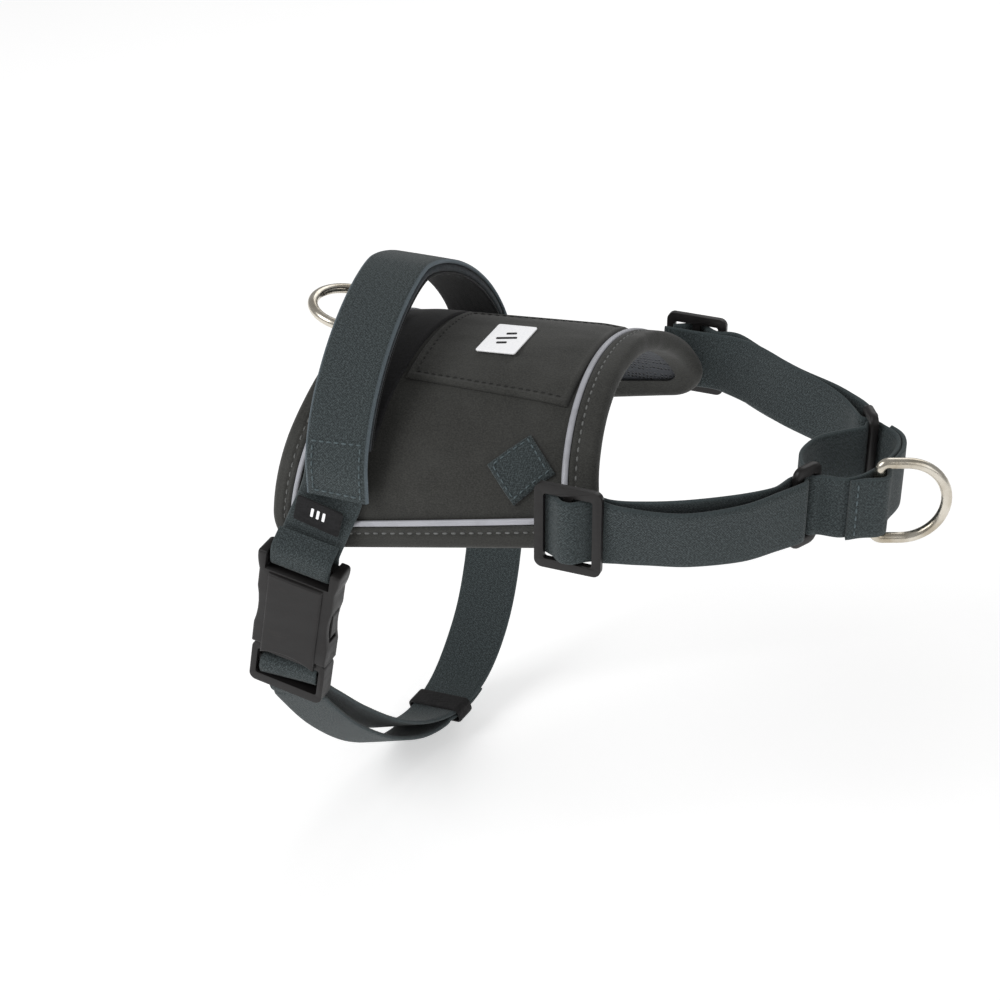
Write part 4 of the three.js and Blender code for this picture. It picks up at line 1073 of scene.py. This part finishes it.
loop_bars, chest_frames, return_frames = {}, {}, {}
for side, name in sides:
    rear = chest_place(side, loop_place[0], loop_place[1], chest_height)
    towards = np.array([math.cos(loop_heading), -side * math.sin(loop_heading), 0])
    middle = rear + towards * loop_depth / 2
    flat = even_ring(rounded(loop_length, loop_depth, 2.2), 110)
    path = middle + np.array([0, 0, 1]) * flat[:, :1] + towards * flat[:, 1:]
    at_ends = smooth(loop_length / 2 - 2.4, loop_length / 2 - 0.4, np.abs(flat[:, 0]))
    ring = tube(name + "_chest_loop_moulded", path, unit(np.cross([0, 0, 1], towards)),
                loop_wire / 2 + 0.5 * at_ends, loop_wire / 2, power=3.2)
    dress(ring, acetal, "plastic", name + "_loop", name + "_chest_loop")
    loop_bars[side] = rear + towards * loop_depth

    fold = loop_wire / 2 + 2 * gap + web_thick / 2
    forward, outward = np.array([0.6, -side * 0.8, 0]), np.array([0.8, side * 0.6, 0])

    def bar(ahead, out):
        """A point round the loop's rear bar, in shares of the fold's radius."""
        return rear + forward * fold * ahead + outward * fold * out

    inner_height = glide_raise + chest_height
    inner = [chest_place(side, x, out, z) for x, out, z in (
        (glide_place - 12, over_edge, inner_height), (glide_place, over_edge, inner_height),
        (107, over_edge, inner_height), (120, 65.6, chest_height + 3), (135, 58, chest_height + 3),
        (150, 46.6, chest_height + 1.8), (158, 36.4, chest_height))]
    inner += [bar(-0.1, -1), bar(0.7, -0.75), bar(1.03, 0), bar(0.7, 0.75), bar(-0.1, 1)]
    outer = [chest_place(side, x, out, z) for x, out, z in (
        (161, 39.4, chest_height), (151.5, 51.6, chest_height), (136, 62.6, chest_height),
        (122, 68.4, chest_height + 0.8),
        (glide_place + glide_length / 2 + 4.6, glide_out - wrap_out, inner_height))]
    glide = chest_place(side, glide_place, glide_out, inner_height)
    in_slot = (glide_middle + (glide_length - 2 * glide_bar - glide_middle) / 2) / 2
    over_bar = glide_middle / 2 + 0.8
    round_bar = [glide + np.array([x, side * y, 0]) for x, y in (
        (in_slot + 4, -wrap_out), (in_slot, -0.2), (over_bar, wrap_out + 0.1), (0, wrap_out + 0.65),
        (-over_bar, wrap_out + 0.1), (-in_slot, -0.2), (-in_slot - 4, -wrap_out))]
    whole, whole_share = route(inner + outer + round_bar)
    split = int(np.argmin(np.linalg.norm(whole - bar(-0.1, 1), axis=1)))
    chest_frames[side] = lay(whole[:split + 1], whole_share[:split + 1], chest_across(side), step=0.9)
    return_frames[side] = lay(whole[split:], whole_share[split:], chest_across(side), step=0.9)
    first = strap(name + "_chest_strap_web", chest_frames[side])
    dress(first, webbing, "webbing", "chest", name + "_chest_strap")
    second = strap(name + "_chest_return_web", return_frames[side])
    dress(second, webbing, "webbing", None, name + "_adjuster_wrap")
    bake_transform(second)

# %% Control loop and the tab over the leash ring's bar
loop_fold = loop_wire / 2 + 2.8 * gap + web_thick / 2


def round_loop(side, x, y):
    """A point round the front bar of a plastic loop."""
    return loop_bars[side] + np.array([x, y, 0]) * loop_fold


front_points = [
    round_loop(-1, 0.9, -0.55), (181, -21, chest_height), (187.5, -12, chest_height),
    (190.8, -2, chest_height), (192.3, 8, chest_height), (190, 17, chest_height),
    round_loop(1, 0.9, 0.55), round_loop(1, 0.05, 1.05), round_loop(1, -0.8, 0.65),
    round_loop(1, -0.9, -0.5), (171, 13, chest_height), (163.5, 5, chest_height),
    (160.5, -6, chest_height), (162, -14, chest_height), round_loop(-1, -1, 0.25),
    round_loop(-1, -0.8, -0.65), round_loop(-1, 0.05, -1.05)]
front, front_share = route(front_points, closed=True)
front_frames = lay(front, front_share, crosswise(0, 0, 1), closed=True, step=0.9)
dress(strap("front_loop_web", front_frames), webbing, "webbing", "chest", "front_loop")

ring_wire = 4.0
bar_off = web_thick / 2 + gap + ring_wire / 2
ring_share = 2 / len(front_points)
ring_spot = front[int(np.argmin(np.abs(front_share - ring_share)))]


def tab_lift(at, share):
    """One thickness off the loop, and over the ring's bar by a bell-shaped bump."""
    away = np.linalg.norm(at - ring_spot, axis=-1)
    return tail_gap + (2 * bar_off + 0.3 - tail_gap) * np.exp(-(away / 5.2) ** 2)


on_tab = (front_share >= 1 / len(front_points)) & (front_share <= 5.7 / len(front_points))
tab_frames = lay(front[on_tab], front_share[on_tab], crosswise(0, 0, 1), tab_lift, step=0.7)
dress(strap("front_ring_tab_web", tab_frames), webbing, "webbing", "chest", "front_ring_tab")

# %% Rear ring tab
rear_ring_x = -18.0


def ridge_z(x):
    """Height of the saddle's outer face along its ridge."""
    return ridge_slope * x + saddle_top


over_piping = gap + piping_height + gap + web_thick / 2
rear_fold = ring_wire / 2 + 2 * gap + web_thick / 2
rear_bar = np.array([rear_ring_x, 0, ridge_z(rear_ring_x) + over_piping + rear_fold])
half_turn = np.radians([180, 135, 90, 45, 0])
rear_points = [(-5, 0, ridge_z(-5) + over_piping), (-11, 0, ridge_z(-11) + over_piping)]
rear_points += [rear_bar + rear_fold * np.array([-math.sin(a), 0, math.cos(a)]) for a in half_turn]
rear_points += [(-12, 0, ridge_z(-12) + over_piping + 3.4),
                (-6, 0, ridge_z(-5) + over_piping + tail_gap + 0.2)]
rear_frames = lay(*route(rear_points), crosswise(0, 1, 0), step=0.7)
dress(strap("rear_ring_tab_web", rear_frames, 24.0), webbing, "webbing", "saddle", "rear_ring_tab")

# %% [markdown]
# ## Leash rings
# Each ring is steel wire bent into a D: a straight bar, two short legs and a half-round bow, welded
# in the middle of the bar. A round section is carried round that outline.


# %% D rings
def d_outline(length, depth, bend=3.0):
    """A bar along the first axis, quarter-circle bends, legs along the second axis, and a bow."""
    half_length = (length - ring_wire) / 2
    bow = min(half_length, depth - ring_wire - bend)
    leg = depth - ring_wire - bow
    quarter = np.linspace(-math.pi / 2, 0, 12)
    arch = np.linspace(0, math.pi, 60)
    right = np.stack([half_length - bend + bend * np.cos(quarter), bend + bend * np.sin(quarter)], -1)
    top = np.stack([half_length * np.cos(arch), leg + bow * np.sin(arch)], -1)
    left = right[::-1] * [-1, 1]
    return even_ring(np.concatenate([right, top, left]), 150)


def d_ring(name, middle, bar_way, reach, length, depth, body, node):
    """The ring in its plane, with a small swelling where the bar is welded."""
    flat = d_outline(length, depth)
    path = middle + np.asarray(bar_way) * flat[:, :1] + reach * flat[:, 1:]
    weld = 0.25 * np.exp(-(flat[:, 0] / 1.2) ** 2) * (flat[:, 1] < 1)
    radius = ring_wire / 2 + weld
    normal = unit(np.cross(reach, bar_way))
    dress(tube(name, path, normal, radius, ring_wire / 2, corners=24), steel, "steel", body, node)


raise_angle, front_turn = math.radians(12), math.radians(22)
rear_size, front_size = (34.0, 25.0), (35.0, 29.0)
rear_reach = np.array([-math.cos(raise_angle), 0, math.sin(raise_angle)])
d_ring("rear_d_ring_wire", rear_bar, (0, 1, 0), rear_reach, *rear_size, "rear_ring", "rear_d_ring")
k = int(np.argmin(np.linalg.norm(front_frames["at"] - ring_spot, axis=1)))
outward = unit(np.cross(front_frames["ahead"][k], [0, 0, 1]))
front_bar = ring_spot + outward * (bar_off + 0.1) + np.array([0, 0, 0.8])
front_reach = np.array([math.cos(front_turn), math.sin(front_turn), 0])
d_ring("front_d_ring_wire", front_bar, (0, 0, 1), front_reach, *front_size, "front_ring", "front_d_ring")

# %% [markdown]
# ## Plastic fittings
# The moulded fittings keep their designed solids. A Weld joins their triangles and a Bevel softens
# every edge, as a mould does. The socket gets what the mould puts on its face: a raised, slightly
# crowned panel whose lower end is cut to an arch over the plug.

# %% Soften the moulded edges
for node_name, soft in (("buckle_socket", 0.45), ("buckle_plug", 0.5), ("front_prong", 0.3),
                        ("rear_prong", 0.3), ("right_adjuster", 0.55), ("left_adjuster", 0.55)):
    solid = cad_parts[node_name]
    solid.data.materials.clear()
    solid.data.materials.append(acetal)
    solid.data.shade_smooth()
    join = solid.modifiers.new("join", "WELD")
    join.merge_threshold = 1e-6
    edges = solid.modifiers.new("edges", "BEVEL")
    edges.width = soft * MM
    edges.segments = 3
    edges.limit_method = "ANGLE"
    edges.angle_limit = math.radians(28)
    edges.harden_normals = True
print("moulded nodes softened")

# %% [markdown]
# ## Keeper
# A short band of black elastic holds the tail to the strap. It is knitted flat and sewn to a loop, so
# it is one band carried round both layers, with soft edges and close ribs. It lies closer to the
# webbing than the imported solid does, so it cuts into the strap a little when the keeper slides.

# %% Elastic keeper
keeper_low, keeper_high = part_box("strap_keeper")
keeper_middle = np.array((keeper_low + keeper_high) / 2) / MM
girth_frames = lay(belly, belly_share, belly_across)
k = int(np.argmin(np.linalg.norm(girth_frames["at"] - keeper_middle, axis=1)))
keeper_w, keeper_n, keeper_ahead = (girth_frames[key][k] for key in ("w", "n", "ahead"))
keeper_long, keeper_wall, keeper_play = 9.0, 1.1, 0.7
band_round = even_ring(rounded(web_width + 2 * keeper_play + keeper_wall,
                               web_thick + tail_gap + 2 * keeper_play + keeper_wall, 1.8), 160)
band_path = keeper_middle + keeper_w * band_round[:, :1] + keeper_n * band_round[:, 1:]
ribbed = keeper_wall / 2 + 0.05 * np.cos(np.arange(160) * math.pi)
keeper = tube("strap_keeper_elastic", band_path, keeper_ahead, ribbed, keeper_long / 2, power=7,
              corners=28)
dress(keeper, elastic_knit, "black_trim", "keeper", "strap_keeper")

# %% Raised face of the socket
face_half, face_top, face_seat, face_out, face_under = 11.6, 35.6, 4.75, 6.5, -4.7
a_grid, b_grid = np.meshgrid(cosine_spread(46), cosine_spread(70), indexing="ij")
face_low = -3.4 + 3.0 * (1 - a_grid ** 2)
face_x = a_grid * face_half
face_z = face_low + (face_top - face_low) * (b_grid + 1) / 2
face_edge = np.minimum(face_half - np.abs(face_x), np.minimum(face_z - face_low, face_top - face_z))
face_rim = np.sqrt(np.clip(1 - (1 - np.clip(face_edge / 1.0, 0, 1)) ** 2, 0, 1))
face_crown = 0.35 * (1 - a_grid ** 2)
face_y = -face_seat - (face_out - face_seat) * face_rim - face_crown * face_rim
face_points = from_buckle(face_x[..., None], face_y[..., None], face_z[..., None])
face_back = from_buckle(face_x[..., None], np.full_like(face_x, face_under)[..., None], face_z[..., None])
dress(build("socket_face", *slab(face_points, face_back), sharp=80), acetal, "plastic", "saddle")

# %% Size tag
tag_middle = np.array([-5.2, -over_edge - web_thick / 2 - 2.6 * gap - 0.5, handle_foot - 3 - 5.5])
tag_turn = math.atan2(3.5, 14)
tag_ahead = np.array([math.cos(tag_turn), 0, -math.sin(tag_turn)])
tag_up = np.array([math.sin(tag_turn), 0, math.cos(tag_turn)])
tag_axes = (tag_ahead, tag_up, (0, -1, 0))
add_plate("size_tag_woven", (19.0, 11.0, 0.9, 0.9, 0.25), tag_middle, tag_axes, black_cloth, "black_trim",
          "saddle", "size_tag")
for number, aside in enumerate((-2.4, 0.0, 2.4)):
    bar_middle = tag_middle + tag_ahead * aside + np.array([0, -0.5, 0]) + tag_up * 0.6
    add_plate(f"tag_bar_{number + 1}", (1.1, 3.8, 0.3, 0.3, 0.1), bar_middle, tag_axes, satin_painted_glow, "label",
              "saddle")

# %% [markdown]
# ## Stitches
# A seam reads as a seam because each stitch is a small raised bead with a dip on either side. One
# stitch is an arched grain of thread, narrow at both ends where it enters the cloth. A row of them
# is computed at once and kept as one piece.


# %% Rows of stitches
def stitch_row(name, at, up, ahead, material, slot, body, length=2.3, thick=0.75, rise=0.25):
    """Each stitch is a bent spindle: its middle line rises as a parabola from both needle holes, and
    its radius falls to nothing at its ends."""
    t = np.linspace(-1, 1, 7)
    a = np.linspace(0, 2 * math.pi, 6, endpoint=False)
    up, ahead = unit(up), unit(ahead)
    side = np.cross(up, ahead)
    radius = thick / 2 * np.sqrt(np.clip(1 - t ** 4, 0, 1))
    line = (at[:, None] + ahead[:, None] * (t * length / 2)[None, :, None]
            + up[:, None] * (rise * (1 - t ** 2))[None, :, None])
    ring = (side[:, None, None] * (radius[:, None] * np.cos(a))[None, ..., None]
            + up[:, None, None] * (radius[:, None] * np.sin(a))[None, ..., None])
    points = line[:, :, None] + ring
    one = quads(len(t), len(a), False, True)
    each = len(t) * len(a)
    faces = (one[None] + (np.arange(len(at)) * each)[:, None, None]).reshape(-1, 4)
    return dress(build(name, points, faces), material, slot, body)


def spaced(points, ups, pitch):
    """Even places along a line of points, with the surface's normal and the line's direction."""
    d = run_length(points)
    count = max(1, int(d[-1] / pitch))
    s = (np.arange(count) + 0.5) * d[-1] / count
    ahead = read_at(s + 0.2, d, points) - read_at(s - 0.2, d, points)
    return read_at(s, d, points), read_at(s, d, ups), ahead


def saddle_seam(name, x, s, height, material, pitch=3.6, **sizes):
    """Stitches along a line given on the saddle's surface."""
    at = wrap(x, s, height)
    up = wrap(x, s, height + 1) - at
    return stitch_row(name, *spaced(at, up, pitch), material, "shell", "saddle", **sizes)


edge_u, edge_row, edge_length = outline(1600)
seam_x, seam_s = pattern(np.append(edge_u, edge_u[0]), np.append(edge_row, edge_row[0]), stitch_inset)
saddle_seam("upper_binding_stitches", seam_x, seam_s, binding_top(stitch_inset) - 0.1, pale_thread,
            thick=0.85)
print("binding seam is", round(edge_length), "mm round")


# %% Seams of the top panel
def panel_line(inset):
    """A line inset from the panel's border, from its front right corner round the rear to the front."""
    x_front, x_rear = np.linspace(panel_front, panel_rear + inset, 200), np.full(200, panel_rear + inset)

    def half_at(x):
        """The panel's half width there, less the inset."""
        share = (x - panel_rear) / (panel_front - panel_rear)
        return panel_half_rear + (panel_half_front - panel_half_rear) * share - inset

    across_rear = np.linspace(-1, 1, 200) * half_at(panel_rear + inset)
    x = np.concatenate([x_front, x_rear, x_front[::-1]])
    s = np.concatenate([-half_at(x_front), across_rear + 1e-6, half_at(x_front[::-1])])
    return x, s


panel_seam_x, panel_seam_s = panel_line(3.4)
seam_height = saddle_top + gap + 1.0 + fill_height(panel_seam_x, panel_seam_s) - 0.05
saddle_seam("panel_stitches", panel_seam_x, panel_seam_s, seam_height, dark_thread, pitch=3.0, length=2.2,
            thick=0.6)


# %% Seams on straps
def strap_seam(name, frames, places, asides, outside, body):
    """Stitches on a strap's face, along a line of places along it and asides across it."""
    points, ups = [], []
    for s0, s1, a0, a1 in zip(places[:-1], places[1:], asides[:-1], asides[1:]):
        t = np.linspace(0, 1, 40)
        s, a = s0 + (s1 - s0) * t, a0 + (a1 - a0) * t
        at, w, n = (read_at(s, frames["s"], frames[key]) for key in ("at", "w", "n"))
        points.append(at + w * a[:, None] + n * outside * (web_thick / 2 + 0.02))
        ups.append(n * outside)
    at, up, ahead = spaced(np.concatenate(points), np.concatenate(ups), 2.9)
    return stitch_row(name, at, up, ahead, web_thread, "webbing", body, length=2.2)


box_side = 9.6
for end, name in ((0, "right"), (1, "left")):
    total = handle_frames["s"][-1]
    near, far = 2.2, 21.5
    places = [near, far, far, near, near]
    places = places if end == 0 else [total - p for p in places]
    strap_seam(name + "_handle_box_stitches", handle_frames, places,
               [-box_side, -box_side, box_side, box_side, -box_side], -1, "handle")
for side, name in sides:
    strap_seam(name + "_chest_stitches", chest_frames[side], [34, 34], [-10.6, 10.6], -side, "chest")
strap_seam("front_tab_stitches_right", tab_frames, [2.6, 2.6], [-11, 11], 1, "chest")
strap_seam("front_tab_stitches_left", tab_frames, [tab_frames["s"][-1] - 2.6] * 2, [-11, 11], 1, "chest")
strap_seam("rear_tab_stitches", rear_frames, [rear_frames["s"][-1] - 3.0] * 2, [-10.5, 10.5], 1, "saddle")

# %% Seams of the patches
for side, name in sides:
    h = patch_side / 2 - 1.8
    corner_a, corner_b = np.array([-h, h, h, -h, -h]), np.array([-h, -h, h, h, -h])
    line_a = np.concatenate([np.linspace(p, q, 60) for p, q in zip(corner_a[:-1], corner_a[1:])])
    line_b = np.concatenate([np.linspace(p, q, 60) for p, q in zip(corner_b[:-1], corner_b[1:])])
    line_x = patch_place[0] + (line_a + line_b) * math.sqrt(0.5)
    line_s = side * (patch_place[1] + (line_a - line_b) * math.sqrt(0.5))
    level = saddle_top + gap + web_thick + fill_height(line_x, line_s)
    saddle_seam(name + "_patch_stitches", line_x, line_s, level, web_thread, pitch=2.9, length=2.1, thick=0.6)
